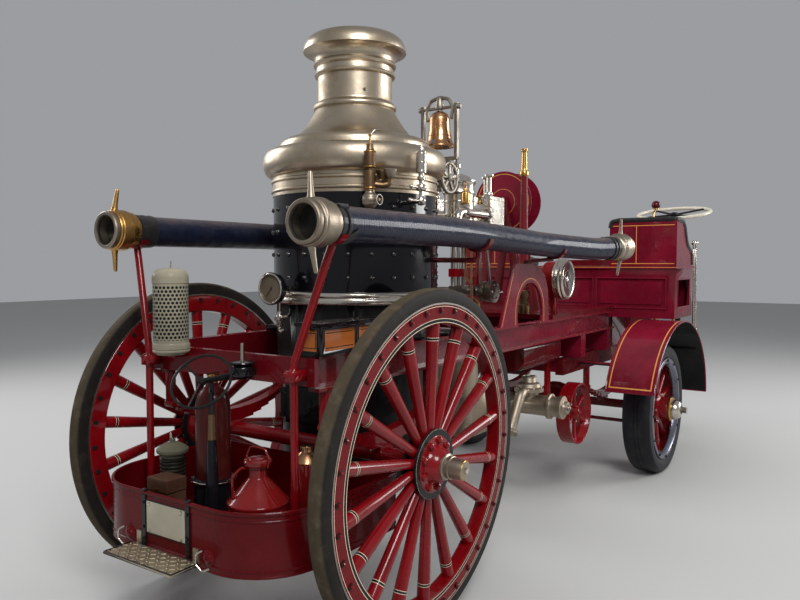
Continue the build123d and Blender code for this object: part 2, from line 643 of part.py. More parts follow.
def strainer():
    """Perforated suction strainer, stowed on a shelf of the rear board."""
    body = turned([(0, 0), (66, 0), (82, 10), (82, 52), (78, 56), (78, 322), (81, 326), (81, 350), (74, 374),
                   (54, 388), (0, 394)], (STRAINER_X, STRAINER_Y, STRAINER_Z))
    shelf = (STRAINER_Z - 15, STRAINER_Z + 1)
    return body + block((STRAINER_X, RAIL_X[0] - REAR_BOARD_T), (STRAINER_Y - 25, STRAINER_Y + 25), shelf)


BRAKE_R = 128


def hand_wheel():
    """Thin iron brake wheel on a short shaft, and the oil cup beside it."""
    x, y, z = -720, -90, 1190
    face = RAIL_X[0] - REAR_BOARD_T
    rim = hoop(BRAKE_R, 6)
    for i in range(3):
        rim += Rot(0, 0, 120 * i + 20) * bar((0, 0, 0), (BRAKE_R, 0, 0), 5)
    rim = Plane(origin=(x, y, z), z_dir=(-0.7, -0.3, 0.64)) * rim
    cup = turned([(0, 0), (30, 0), (48, 18), (48, 46), (36, 62), (56, 66), (56, 72), (10, 76), (7, 150), (0, 152)],
                 (face - 62, -180, z))
    cup += block((face - 40, face), (-200, -160), (z + 10, z + 40))
    return rim + bar((x - 5, y, z), (face, y, z), 13) + cup


BOX_X = (-490, 0)
BOX_Y = (417, 547)
BOX_H = 125


def tool_box():
    """Side box with framed panels, standing on the rail."""
    z = (RAIL_Z[1], RAIL_Z[1] + BOX_H)
    box = block(BOX_X, (-BOX_Y[1], -BOX_Y[0]), z)
    box += block((BOX_X[0] - 8, BOX_X[1] + 8), (-BOX_Y[1] - 8, -BOX_Y[0] + 8), (z[1] - 4, z[1] + 10))
    box -= block((BOX_X[0] - 1, BOX_X[0] + 6), (-BOX_Y[1] + 22, -BOX_Y[0] - 22), (z[0] + 18, z[1] - 18))
    for x in (BOX_X[0] + 26, (BOX_X[0] + BOX_X[1]) / 2 + 12):
        box -= block((x, x + 207), (-BOX_Y[1] - 1, -BOX_Y[1] + 6), (z[0] + 18, z[1] - 18))
    return box


# Pump and engine
ENGINE_X = 1240
CYLINDER_Y = 200
CYLINDER_R = 95
CYLINDER_Z = (1850, 2200)
THROTTLE_R = 86
CRANK_X = ENGINE_X + 62
CRANK_Z = 1510
PUMP_X = (1170, 1640)
PUMP_Z = (600, 1150)


def pump():
    """Twin pump barrels over a valve chest, bolted between the rails."""
    body = block((PUMP_X[0] + 20, PUMP_X[1] - 40), (-300, 300), (PUMP_Z[0], 860))
    body = fillet(body.edges().filter_by(Axis.Z), 60)
    for y in (-CYLINDER_Y, CYLINDER_Y):
        body += turned([(0, 860), (125, 860), (125, 1080), (150, 1085), (150, 1120), (110, 1125),
                        (110, PUMP_Z[1]), (0, PUMP_Z[1])], (ENGINE_X, y, 0))
    body += turned([(0, 860), (95, 860), (105, 940), (100, 1040), (70, 1110), (0, 1130)], (1500, 0, 0))
    for side in (-1, 1):
        lug_y = sorted((side * 290, side * (RAIL_Y - RAIL_W / 2)))
        body += block((ENGINE_X - 90, ENGINE_X + 90), lug_y, (1160, 1190))
        body += block((ENGINE_X - 90, ENGINE_X + 90), sorted((side * 290, side * 320)), (1085, 1190))
    return body


def engine_frame():
    """Columns, rods, crossheads and the crank over the pump."""
    frame = None
    for y in (-CYLINDER_Y, CYLINDER_Y):
        for dx in (-65, 65):
            column = bar((ENGINE_X + dx, y, PUMP_Z[1]), (ENGINE_X + dx, y, CYLINDER_Z[0]), 16)
            frame = column if frame is None else frame + column
        frame += bar((ENGINE_X, y, PUMP_Z[1]), (ENGINE_X, y, CYLINDER_Z[0]), 13)
        frame += block((ENGINE_X - 85, ENGINE_X + 85), (y - 22, y + 22), (1600, 1650))
        frame += block((ENGINE_X - 85, ENGINE_X + 85), (y - 26, y + 26), (1400, 1440))
        frame += block((ENGINE_X - 85, CRANK_X + 34), (y - 20, y + 20), (CRANK_Z - 34, CRANK_Z + 34))
    frame += bar((CRANK_X, -385, CRANK_Z), (CRANK_X, 385, CRANK_Z), 22)
    outer = turned([(0, 0), (62, 0), (62, 40), (52, 44), (52, 52), (68, 56), (68, 92), (20, 96), (0, 98)],
                   (CRANK_X, -330, CRANK_Z), (0, -1, 0))
    frame += pair(outer)
    for y in (-300, 280):
        frame += block((CRANK_X + 20, CRANK_X + 54), (y, y + 20), (CRANK_Z - 30, 1860))
        frame += block((CRANK_X - 40, CRANK_X + 54), (y, y + 20), (CRANK_Z - 30, CRANK_Z + 30))
    return frame


def steam_cylinders():
    """Plated cylinders with domed lids, the valve chests ahead of them, the throttle and the exhaust bend."""
    low, high = CYLINDER_Z
    r = CYLINDER_R
    outline = [(0, low), (r + 12, low), (r + 12, low + 28), (r, low + 34), (r, high - 96), (r + 9, high - 90),
               (r + 9, high - 74), (r + 3, high - 70), (r + 3, high - 30), (r + 11, high - 26), (r + 11, high - 8),
               (r - 8, high), (r - 30, high + 20), (34, high + 34), (0, high + 38)]
    cup = [(0, high + 30), (16, high + 30), (16, high + 62), (28, high + 72), (28, high + 92), (12, high + 110),
           (12, high + 128), (0, high + 130)]
    stem = [(0, high - 90), (26, high - 90), (26, high - 62), (16, high - 56), (16, high + 40), (30, high + 46),
            (30, high + 56), (0, high + 60)]
    chest_x = (ENGINE_X + 240, ENGINE_X + 440)
    plated = None
    for y in (-CYLINDER_Y, CYLINDER_Y):
        barrel = turned(outline, (ENGINE_X, y, 0)) + turned(cup, (ENGINE_X - 30, y, 0))
        barrel += block((ENGINE_X + 60, chest_x[0]), (y - 40, y + 40), (low + 60, low + 160))
        barrel += block(chest_x, (y - 95, y + 75), (low + 20, high - 86))
        barrel += turned(stem, (chest_x[0] + 50, y - 60, 0)) + turned(stem, (chest_x[1] - 40, y + 20, 0))
        plated = barrel if plated is None else plated + barrel
    plated += bar((ENGINE_X, -CYLINDER_Y, 1960), (ENGINE_X, CYLINDER_Y, 1960), 55)
    x, y, z = 985, -110, 2185
    plated += bent([(x, y, z), (x, y, 1960), (1200, -130, 1960)], 30, 60) + Pos(x, y, z) * Sphere(40)
    plated += bar((x, y, z), (x, y - 180, z), 8)
    wheel = hoop(THROTTLE_R, 9)
    for i in range(3):
        wheel += Rot(0, 0, 120 * i + 30) * bar((0, 0, 0), (THROTTLE_R, 0, 0), 8)
    plated += Plane(origin=(x, y - 170, z), z_dir=(0, -1, 0)) * wheel
    exhaust_y, exhaust_z = -CYLINDER_Y - 130, 1985
    plated += bent([(1000, exhaust_y, 1890), (1000, exhaust_y, exhaust_z), (1380, exhaust_y, exhaust_z)], 26, 45)
    for x in (1075, 1355):
        plated += disc((x, exhaust_y, exhaust_z), (1, 0, 0), 36, 18)
    return plated + bar((ENGINE_X, exhaust_y, exhaust_z), (ENGINE_X, -CYLINDER_Y, exhaust_z), 24)


def suction_inlet():
    """Cream suction inlet with its capped mouth, gate valve and side bend."""
    x, z = 1800, 735
    body = disc((x, -250, z), (0, -1, 0), 68, 330)
    body += turned([(0, 0), (60, 0), (60, 24), (84, 24), (84, 44), (66, 50), (66, 100), (76, 104), (76, 128), (40, 136),
                    (40, 158), (0, 158)], (x, -550, z), (0, -1, 0))
    body += bar((PUMP_X[1] - 40, -290, z), (x, -290, z), 62)
    body += turned([(0, 0), (62, 0), (62, 84), (98, 88), (98, 112), (80, 118), (74, 140), (46, 156), (46, 186), (0, 190)],
                   (x, -430, z))
    bend = bent([(x - 20, -430, z + 90), (x - 130, -430, z + 90), (x - 280, -430, z - 130)], 34, 60)
    return body + bend + disc((x - 290, -430, z - 145), (0.56, 0, 0.82), 52, 20)


def feed_tank():
    """Rounded feed-water tank under the rails."""
    tank = block((1700, 2330), (-440, 440), (960, 1165))
    return fillet(tank.edges().filter_by(Axis.X), 70)


WHEEL_AXIS_X, WHEEL_AXIS_Z = 2281, 610
RELIEF_R = 218
RELIEF_W = 96


def relief_wheel():
    """Red spoked wheel with a deep rim, on a bracket below the tank."""
    at = (WHEEL_AXIS_X, -565, WHEEL_AXIS_Z)
    place = Plane(origin=at, z_dir=(0, -1, 0))
    wheel = place * (ring(RELIEF_R, RELIEF_R - 16, RELIEF_W) + ring(RELIEF_R - 10, RELIEF_R - 34, 30) + ring(50, 10, 80))
    for i in range(6):
        spoke = bar((30, 0, 0), (RELIEF_R - 20, 0, 0), 15)
        wheel += place * (Rot(0, 0, 60 * i) * spoke)
    wheel += bar((WHEEL_AXIS_X, -370, WHEEL_AXIS_Z), (WHEEL_AXIS_X, -615, WHEEL_AXIS_Z), 18)
    return wheel + block((WHEEL_AXIS_X - 30, WHEEL_AXIS_X + 30), (-370, -345), (WHEEL_AXIS_Z - 30, 960))


# Boiler fittings, bell and deck
BELL_X, BELL_Y, BELL_Z = 1010, -200, 2600


def bell():
    """Brass bell hung from its gudgeons, with its clapper."""
    outline = [(0, 2585), (20, 2582), (48, 2566), (60, 2540), (64, 2470), (74, 2410), (92, 2372), (84, 2370),
               (66, 2408), (56, 2470), (52, 2538), (40, 2556), (0, 2564)]
    piece = turned(outline, (BELL_X, BELL_Y, 0))
    piece += bar((BELL_X, BELL_Y, 2580), (BELL_X, BELL_Y, 2610), 14)
    piece += bar((BELL_X, BELL_Y - 112, BELL_Z), (BELL_X, BELL_Y + 112, BELL_Z), 9)
    return piece + bar((BELL_X, BELL_Y, 2566), (BELL_X, BELL_Y, 2392), 5, 11)


def bell_yoke():
    """Plated yoke on a post carried by the dome's lower band."""
    post = bar((BELL_X, BELL_Y, 2110), (BELL_X, BELL_Y, 2290), 16, 13)
    post += block((BELL_X - 14, BELL_X + 14), (BELL_Y - 125, BELL_Y + 125), (2290, 2310))
    for y in (BELL_Y - 125, BELL_Y + 105):
        post += block((BELL_X - 12, BELL_X + 12), (y, y + 20), (2300, BELL_Z + 20))
    post -= bar((BELL_X, BELL_Y - 130, BELL_Z), (BELL_X, BELL_Y + 130, BELL_Z), 9 + SHAFT_GAP)
    arm = bar((BOILER_X + 330, BELL_Y * 0.6, 2122), (BELL_X, BELL_Y, 2122), 14)
    arm -= disc((BOILER_X, 0, 2050), (0, 0, 1), DOME_BAND_R + 8, 200)
    return post + arm


GAUGE_Y, GAUGE_Z = 100, 1556
WHISTLE_X, WHISTLE_Y, WHISTLE_Z = 74, -380, 1985
OILER_X, OILER_Y, OILER_Z = 302, -524, 1990


def boiler_fittings(jacket):
    """Steam gauge with its cock, the whistle valve with its cup, and the tall oiler on the boiler."""
    gauge = turned([(0, 0), (60, 0), (76, 12), (76, 34), (82, 38), (82, 48), (72, 48), (70, 42), (0, 42)],
                   (-66, GAUGE_Y, GAUGE_Z), (-1, 0, 0))
    gauge += bar((-68, GAUGE_Y, GAUGE_Z), (60, GAUGE_Y, GAUGE_Z), 11)
    gauge += bar((-50, GAUGE_Y, GAUGE_Z), (-50, GAUGE_Y, GAUGE_Z - 175), 12)
    gauge += turned([(0, 0), (17, 0), (17, 26), (26, 30), (26, 46), (15, 52), (15, 74), (0, 74)],
                    (-50, GAUGE_Y, GAUGE_Z - 190))
    gauge += bar((-50, GAUGE_Y, GAUGE_Z - 145), (-50, GAUGE_Y - 62, GAUGE_Z - 140), 9, 6)
    valve = bar((180, -250, WHISTLE_Z), (WHISTLE_X, WHISTLE_Y, WHISTLE_Z), 15)
    valve += turned([(0, -42), (22, -38), (38, -18), (38, 18), (22, 38), (24, 44), (22, 52), (26, 56), (26, 140),
                     (18, 146), (18, 152), (27, 156), (27, 232), (20, 240), (16, 266), (0, 268)],
                    (WHISTLE_X, WHISTLE_Y, WHISTLE_Z))
    valve += bar((WHISTLE_X, WHISTLE_Y, WHISTLE_Z + 80), (WHISTLE_X + 62, WHISTLE_Y - 28, WHISTLE_Z + 96), 13)
    valve += turned([(0, -12), (14, -10), (24, 12), (36, 44), (36, 50), (0, 50)],
                    (WHISTLE_X + 66, WHISTLE_Y - 30, WHISTLE_Z + 94))
    oiler = turned([(0, -24), (16, -20), (24, 0), (16, 20), (11, 24), (11, 46), (22, 50), (27, 64), (22, 80), (11, 84),
                    (11, 100), (20, 104), (20, 118), (14, 122), (14, 134), (26, 138), (26, 238), (12, 244), (8, 270),
                    (0, 272)], (OILER_X, OILER_Y, OILER_Z))
    oiler += bar((OILER_X, OILER_Y, OILER_Z), (360, -380, OILER_Z), 12)
    oiler += bar((OILER_X, OILER_Y, OILER_Z), (OILER_X - 82, OILER_Y + 10, OILER_Z), 7)
    oiler += bar((OILER_X, OILER_Y, OILER_Z + 64), (OILER_X - 74, OILER_Y + 8, OILER_Z + 66), 6)
    fittings = (gauge + valve + oiler) - jacket
    return fittings


DECK_X = (1960, 3250)


def deck():
    """Red deck over the rails ahead of the engine."""
    return block(DECK_X, (-530, 530), (RAIL_Z[1], RAIL_Z[1] + 30))


def play_pipe():
    """Long discharge nozzle stood in its cup on the deck."""
    base = RAIL_Z[1] + 30
    outline = [(0, 0), (48, 0), (48, 60), (36, 66), (36, 120), (44, 124), (44, 160), (36, 166), (24, 960),
               (32, 966), (32, 990), (22, 1000), (18, 1130), (24, 1134), (24, 1150), (0, 1150)]
    return turned(outline, (2000, -290, base))


def lamp():
    """Round lamp with a ringed plated bezel, looking out to the right."""
    at = (2130, -370, 1572)
    body = Plane(origin=at, z_dir=(0.06, -0.998, 0)) * turned(
        [(0, 0), (80, 8), (120, 40), (128, 60), (128, 120), (140, 124), (144, 134), (138, 142), (146, 152), (146, 168),
         (138, 176), (142, 190), (132, 202), (112, 196), (0, 186)])
    return body + block((2110, 2150), (-480, -440), (RAIL_Z[1] + 30, 1470))


REEL_X, REEL_Z = 2340, 2140
REEL_R = 230


def hose_reel():
    """Red hose reel with flat flanges on a shaft along the engine."""
    reel = disc((REEL_X - 90, 0, REEL_Z), (1, 0, 0), REEL_R, 12) + disc((REEL_X + 78, 0, REEL_Z), (1, 0, 0), REEL_R, 12)
    reel += disc((REEL_X - 90, 0, REEL_Z), (1, 0, 0), 90, 180)
    reel += bar((REEL_X - 150, 0, REEL_Z), (REEL_X + 190, 0, REEL_Z), 18)
    reel += block((REEL_X + 180, REEL_X + 196), (-14, 14), (REEL_Z - 14, REEL_Z + 150))
    return reel + bar((REEL_X + 190, 0, REEL_Z + 135), (REEL_X + 260, 0, REEL_Z + 135), 12)


def reel_stand():
    """Two upright plates that carry the reel's shaft."""
    stand = None
    base = RAIL_Z[1] + 30
    for x in (REEL_X - 130, REEL_X + 115):
        outline = [(-210, base), (210, base), (45, REEL_Z + 40), (-45, REEL_Z + 40)]
        plate = extrude(make_face(Polyline(*[(x, y, z) for y, z in outline], close=True)), 15, dir=(1, 0, 0))
        plate -= bar((x - 5, 0, REEL_Z), (x + 20, 0, REEL_Z), 18 + SHAFT_GAP)
        window = [(-120, base + 60), (120, base + 60), (40, REEL_Z - 140), (-40, REEL_Z - 140)]
        plate -= extrude(make_face(Polyline(*[(x - 5, y, z) for y, z in window], close=True)), 25, dir=(1, 0, 0))
        stand = plate if stand is None else stand + plate
    return stand


# Tractor


def tractor_rails():
    """Tractor side rails."""
    return pair(block(TRACTOR_RAIL_X, (-TRACTOR_RAIL_Y - 30, -TRACTOR_RAIL_Y + 30), TRACTOR_RAIL_Z))


def tractor_cross():
    """Cross members between the tractor's rails, the bolsters over them, and the starting crank."""
    low, high = TRACTOR_RAIL_Z
    inner = TRACTOR_RAIL_Y - 30
    frame = None
    for x in (TRACTOR_RAIL_X[0], 3620, 4650, 4960):
        member = block((x, x + 50), (-inner, inner), (low + 20, high))
        frame = member if frame is None else frame + member
    for x in (2500, 3080):
        frame += block((x, x + 90), (-530, 530), (high, RAIL_Z[0]))
    frame += bar((4990, 0, 915), (WHEELBASE + FRONT_REACH - 12, 0, 915), 13)
    end = WHEELBASE + FRONT_REACH
    frame += block((end - 30, end), (-14, 14), (760, 930))
    return frame + bar((end - 20, 0, 775), (end - 20, 130, 775), 12)


def motor():
    """Motor block between the rails."""
    return block((4620, 5010), (-220, 220), (TRACTOR_RAIL_Z[1], 1380))


def tractor_body():
    """Hollow seat box with recessed rear panels, side openings and its sills."""
    x, z = BODY_X, BODY_Z
    body = block(x, (-BODY_Y, BODY_Y), z)
    body -= block((x[0] + BODY_WALL, x[1] - BODY_WALL), (-BODY_Y + BODY_WALL, BODY_Y - BODY_WALL),
                  (z[0] + BODY_WALL, z[1] - BODY_WALL))
    for y in (-BODY_Y, BODY_Y - BODY_WALL):
        body -= block((x[0] + 90, x[1] - 90), (y - 1, y + BODY_WALL + 1), (z[0] + 90, z[1] - 90))
    for y in (-BODY_Y + 70, -290, BODY_Y - 70 - 580):
        body -= block((x[0] - 1, x[0] + 10), (y, y + 580), (z[0] + 80, z[1] - 80))
    body += block((x[0] - 20, x[1] + 10), (-BODY_Y - 15, BODY_Y + 15), (z[1], z[1] + 22))
    return body + pair(block((x[0] + 40, x[1] - 40), (-TRACTOR_RAIL_Y - 30, -TRACTOR_RAIL_Y + 30),
                             (TRACTOR_RAIL_Z[1], z[0])))


def tractor_floor():
    """Driver's floor with the dash panel."""
    floor = block((FLOOR_X[0] - 20, FLOOR_X[1]), (-FLOOR_Y, FLOOR_Y), FLOOR_Z)
    floor += pair(block((4020, 4500), (-TRACTOR_RAIL_Y - 30, -TRACTOR_RAIL_Y + 30), (TRACTOR_RAIL_Z[1], FLOOR_Z[0])))
    return floor + block((FLOOR_X[1] - 30, FLOOR_X[1]), (-HOOD_Y - 120, HOOD_Y + 120), (FLOOR_Z[0], 1720))


def seat_shell():
    """Right-hand seat back with its curved side wing."""
    base = BODY_Z[1] + 22
    y_in, y_out = -SEAT_Y[0], -SEAT_Y[1] + 20
    back = extrude(fillet(Rectangle(abs(y_out - y_in), SEAT_TOP - base).vertices().sort_by(Axis.Y)[2:4], 60), SEAT_T)
    back = Plane(origin=(BODY_X[0], (y_in + y_out) / 2, (SEAT_TOP + base) / 2), x_dir=(0, 1, 0), z_dir=(1, 0, 0)) * back
    outline = [(0, base), (520, base), (515, base + 90), (490, base + 122), (440, base + 140), (380, base + 160),
               (335, base + 195), (300, base + 250), (262, SEAT_TOP - 50), (205, SEAT_TOP - 12), (140, SEAT_TOP),
               (0, SEAT_TOP)]
    wing = make_face(Polyline(*[(BODY_X[0] + x, y_out, z) for x, z in outline], close=True))
    return back + extrude(wing, 30, dir=(0, 1, 0))


def seat_cushion():
    """Leather cushion and squab of the right-hand seat."""
    base = BODY_Z[1] + 22
    y = (-SEAT_Y[1] + 55, -SEAT_Y[0] - 5)
    cushion = block((BODY_X[0] + SEAT_T, BODY_X[1] - 10), y, (base, base + 110))
    cushion = fillet(cushion.edges().filter_by(Axis.Z), 30)
    return cushion


def fender():
    """Right-hand front fender: an elliptical strip, cut off higher at the rear than at the front."""
    width = FENDER_Y[1] - FENDER_Y[0]
    face = Ellipse(FENDER_A, FENDER_B) - Ellipse(FENDER_A - FENDER_T, FENDER_B - FENDER_T)
    for side, cut in ((-1, FENDER_REAR_CUT), (1, FENDER_FRONT_CUT)):
        face -= Pos(side * FENDER_A, cut - FENDER_B) * Rectangle(2 * FENDER_A, 2 * FENDER_B)
    place = Plane(origin=(WHEELBASE + FENDER_AHEAD, -FENDER_Y[1], FRONT_R), x_dir=(1, 0, 0), z_dir=(0, -1, 0))
    return place * extrude(face, -width)


def fender_arms(strip):
    """Iron arms from the tractor rails to the undersides of the fenders."""
    arm_r = 13
    z = (TRACTOR_RAIL_Z[0] + TRACTOR_RAIL_Z[1]) / 2
    height = (z - FRONT_R) / (FENDER_B - FENDER_T)
    reach = (FENDER_A - FENDER_T) * (1 - height ** 2) ** 0.5 - arm_r + 4
    arms = None
    middle = WHEELBASE + FENDER_AHEAD
    for x in (middle - reach, middle + reach):
        arm = bar((x, -TRACTOR_RAIL_Y - 30, z), (x, -FENDER_Y[1] + 60, z), arm_r)
        arms = arm if arms is None else arms + arm
    return arms - strip


def hood():
    """Sheet hood over the motor, with a rounded top."""
    x = HOOD_X
    outer = fillet(Rectangle(2 * HOOD_Y, HOOD_Z[1] - HOOD_Z[0]).vertices().sort_by(Axis.Y)[2:4], 150)
    inner = fillet(Rectangle(2 * HOOD_Y - 12, HOOD_Z[1] - HOOD_Z[0]).vertices().sort_by(Axis.Y)[2:4], 144)
    section = outer - Pos(0, -6) * inner
    place = Plane(origin=(x[0] - 30, 0, (HOOD_Z[0] + HOOD_Z[1]) / 2), x_dir=(0, 1, 0), z_dir=(1, 0, 0))
    shell = place * extrude(section, x[1] - x[0] + 30)
    return shell


def radiator():
    """Radiator with its shell, filler cap and grille recess."""
    face = fillet(Rectangle(2 * HOOD_Y + 20, HOOD_Z[1] - HOOD_Z[0] + 30).vertices().sort_by(Axis.Y)[2:4], 160)
    place = Plane(origin=(HOOD_X[1], 0, (HOOD_Z[0] + HOOD_Z[1]) / 2 + 15), x_dir=(0, 1, 0), z_dir=(1, 0, 0))
    body = place * extrude(face, RADIATOR_T)
    hole = fillet(Rectangle(2 * HOOD_Y - 90, HOOD_Z[1] - HOOD_Z[0] - 90).vertices().sort_by(Axis.Y)[2:4], 110)
    front = Plane(origin=(HOOD_X[1] + RADIATOR_T - 20, 0, (HOOD_Z[0] + HOOD_Z[1]) / 2 + 10), x_dir=(0, 1, 0),
                  z_dir=(1, 0, 0))
    body -= front * extrude(hole, 30)
    top = HOOD_Z[1] + 30
    return body + disc((HOOD_X[1] + 55, 0, top - 5), (0, 0, 1), 38, 40)


def headlamp():
    """Right-hand headlamp drum on its stalk."""
    at = (4930, -560, 1440)
    drum = turned([(0, 0), (50, 6), (95, 40), (105, 70), (105, 150), (118, 155), (118, 172), (104, 176), (0, 168)],
                  at, (1, 0, 0))
    stalk = bent([(5010, -TRACTOR_RAIL_Y - 30, 930), (5010, -560, 930), (5010, -560, 1340)], 13, 50)
    return drum + stalk


def levers():
    """Two bright levers at the driver's right."""
    pieces = None
    for x, lean in ((4330, -60), (4400, -40)):
        lever = bar((x, -FLOOR_Y - 14, FLOOR_Z[0]), (x + lean, -FLOOR_Y - 14, 1860), 11, 8)
        lever += disc((x, -FLOOR_Y, FLOOR_Z[0] + 10), (0, -1, 0), 24, 28)
        lever += Pos(x + lean, -FLOOR_Y - 14, 1870) * Sphere(22)
        pieces = lever if pieces is None else pieces + lever
    return pieces


COLUMN_FOOT_Z = FLOOR_Z[1]


def column_point(down):
    """Point on the steering column's axis, this far below the wheel's middle."""
    tilt = radians(WHEEL_TILT)
    return (STEERING_X + down * sin(tilt), -STEERING_Y, STEERING_Z - down * cos(tilt))


def steering_column():
    """Column tube with the bare shaft that carries the wheel."""
    foot = (STEERING_Z - COLUMN_FOOT_Z) / cos(radians(WHEEL_TILT))
    column = bar(column_point(foot + 12), column_point(70), 24)
    column += bar(column_point(80), column_point(-12), 12)
    return column - block((4000, 4700), (-FLOOR_Y, 0), (FLOOR_Z[0] - 60, FLOOR_Z[1]))


def steering_wheel():
    """Large wheel with four spokes; its hub turns on the column's shaft."""
    tilt = radians(WHEEL_TILT)
    place = Plane(origin=column_point(0), x_dir=(cos(tilt), 0, sin(tilt)), z_dir=(-sin(tilt), 0, cos(tilt)))
    wheel = hoop(STEERING_R, 16)
    for i in range(4):
        wheel += Rot(0, 0, 90 * i + 45) * bar((0, 0, -12), (STEERING_R, 0, 0), 9)
    wheel += Pos(0, 0, -28) * Cylinder(34, 70)
    wheel -= Pos(0, 0, -28) * Cylinder(12 + SHAFT_GAP, 80)
    return place * wheel


os.makedirs("parts", exist_ok=True)

jacket = boiler_jacket()
fender_right = fender()
saddles = hose_saddles()
right_hose = hose(RIGHT_ROUTE)
hose_end = Vector(*RIGHT_ROUTE[-1])
hose_way = (hose_end - Vector(*RIGHT_ROUTE[-2])).normalized()
couplings = coupling((COUPLING_X, -HOSE_Y, HOSE_Z), (1, 0, 0))
front_mouth = hose_end + hose_way * COUPLING_LENGTH
couplings += coupling(front_mouth, -hose_way)

front_springs = leaf_spring(WHEELBASE, -TRACTOR_RAIL_Y, 60, FRONT_R + 55, 400, 80, 5, 10, TRACTOR_RAIL_Z[0])
rear_springs = leaf_spring(0, -RAIL_Y, 60, REAR_AXLE_Z + 46, 420, 90, 6, 11, RAIL_Z[0])

pieces = {
    "rear_wheel_right": rear_wheel_right,
    "rear_wheel_left": mirrored(rear_wheel_right),
    "rear_tyre_right": rear_tyre_right,
    "rear_tyre_left": mirrored(rear_tyre_right),
    "front_wheel_right": front_wheel_right,
    "front_wheel_left": mirrored(front_wheel_right),
    "front_tyre_right": front_tyre_right,
    "front_tyre_left": mirrored(front_tyre_right),
    "knuckle_right": knuckle(),
    "knuckle_left": mirrored(knuckle()),
    "tie_rod": tie_rod(),
    "front_axle": front_axle(),
    "springs": pair(front_springs + rear_springs),
    "rear_axle": rear_axle(),
    "frame_rails": pair(rail_right()),
    "cross_members": frame_cross() + tractor_cross(),
    "firebox": firebox(),
    "fire_door": fire_door(),
    "boiler_jacket": jacket,
    "boiler_dome": boiler_dome(),
    "boiler_fittings": boiler_fittings(jacket) + bell_yoke(),
    "rear_tub": rear_tub(),
    "rear_step": rear_step(),
    "rear_posts": rear_posts(),
    "suction_hoses": pair(right_hose),
    "couplings_right": couplings,
    "couplings_left": mirrored(couplings),
    "hose_saddles": saddles - pair(right_hose) - jacket,
    "tub_cans": fuel_can() + extinguisher() + red_can(),
    "lantern_and_box": lantern() + store_box(),
    "strainer": strainer(),
    "brake_wheel": hand_wheel(),
    "tool_box": tool_box(),
    "pump": pump(),
    "engine_frame": engine_frame(),
    "steam_cylinders": steam_cylinders(),
    "suction_inlet": suction_inlet(),
    "feed_tank": feed_tank(),
    "relief_wheel": relief_wheel(),
    "bell": bell(),
    "deck": deck() + reel_stand(),
    "play_pipe": play_pipe(),
    "lamp": lamp(),
    "hose_reel": hose_reel(),
    "tractor_rails": tractor_rails(),
    "motor": motor(),
    "tractor_body": tractor_body(),
    "tractor_floor": tractor_floor(),
    "seat_backs": pair(seat_shell()),
    "seat_cushions": pair(seat_cushion()),
    "fenders": pair(fender_right + fender_arms(fender_right)),
    "hood": hood(),
    "radiator": radiator(),
    "headlamps": pair(headlamp()),
    "driver_controls": steering_column() + levers(),
    "steering_wheel": steering_wheel(),
}

for name, shape in pieces.items():
    save(name, shape)
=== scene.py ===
import bmesh
import bpy
import json
from math import cos, exp, pi, radians, sin
from mathutils import Matrix, Vector

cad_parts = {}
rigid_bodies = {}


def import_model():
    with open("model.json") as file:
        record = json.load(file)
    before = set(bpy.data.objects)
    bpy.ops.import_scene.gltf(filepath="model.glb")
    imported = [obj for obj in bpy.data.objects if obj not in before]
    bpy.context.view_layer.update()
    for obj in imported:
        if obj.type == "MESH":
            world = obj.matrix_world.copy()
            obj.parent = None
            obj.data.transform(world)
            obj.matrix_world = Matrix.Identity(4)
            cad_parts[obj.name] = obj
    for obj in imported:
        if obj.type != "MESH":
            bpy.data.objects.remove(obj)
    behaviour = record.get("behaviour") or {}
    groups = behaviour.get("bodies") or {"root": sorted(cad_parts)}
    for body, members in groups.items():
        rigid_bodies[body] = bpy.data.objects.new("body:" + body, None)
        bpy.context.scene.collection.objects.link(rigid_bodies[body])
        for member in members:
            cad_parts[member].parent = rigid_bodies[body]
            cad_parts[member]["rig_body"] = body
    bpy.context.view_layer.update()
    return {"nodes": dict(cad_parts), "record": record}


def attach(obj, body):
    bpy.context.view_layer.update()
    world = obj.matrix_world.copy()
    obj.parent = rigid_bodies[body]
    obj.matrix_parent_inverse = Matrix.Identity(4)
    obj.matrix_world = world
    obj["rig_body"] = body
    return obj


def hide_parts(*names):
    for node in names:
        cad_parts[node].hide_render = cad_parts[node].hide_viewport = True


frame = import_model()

# The fire engine: +X forward, +Y left, +Z up. Shapes are built in millimetres measured from the rear
# axle, as the construction has them, and SHOP takes each finished piece to metres in the shared frame.
AXLE = -2.155
SHOP = Matrix.Translation((AXLE, 0, 0)) @ Matrix.Scale(0.001, 4)

# Finishes: shader maths as expressions


def maths(operation, backwards=False):
    """A method that puts a value through a Math node, with others."""
    def method(*values):
        inputs = reversed(values) if backwards else values
        return values[0].finish.node("ShaderNodeMath", {"operation": operation}, dict(enumerate(inputs)))
    return method


class Value:
    """A number or colour that varies over a surface; arithmetic on it adds Math nodes."""

    def __init__(self, finish, socket):
        self.finish = finish
        self.socket = socket

    __add__ = __radd__ = maths("ADD")
    __mul__ = __rmul__ = maths("MULTIPLY")
    __sub__ = maths("SUBTRACT")
    __rsub__ = maths("SUBTRACT", backwards=True)
    __truediv__ = maths("DIVIDE")
    __pow__ = maths("POWER")
    __lt__ = maths("LESS_THAN")
    __gt__ = maths("GREATER_THAN")
    __abs__ = maths("ABSOLUTE")
    sine = maths("SINE")
    fraction = maths("FRACT")
    either = maths("MAXIMUM")
    angle_of = maths("ARCTAN2")

    def between(self, low, high):
        return (self > low) * (self < high)

    def near(self, middle, half):
        return abs(self - middle) < half

    def ease(self, low, high):
        """0 below low, 1 above high, smooth between."""
        inputs = {"Value": self, "From Min": low, "From Max": high}
        return self.finish.node("ShaderNodeMapRange", {"interpolation_type": "SMOOTHSTEP"}, inputs)


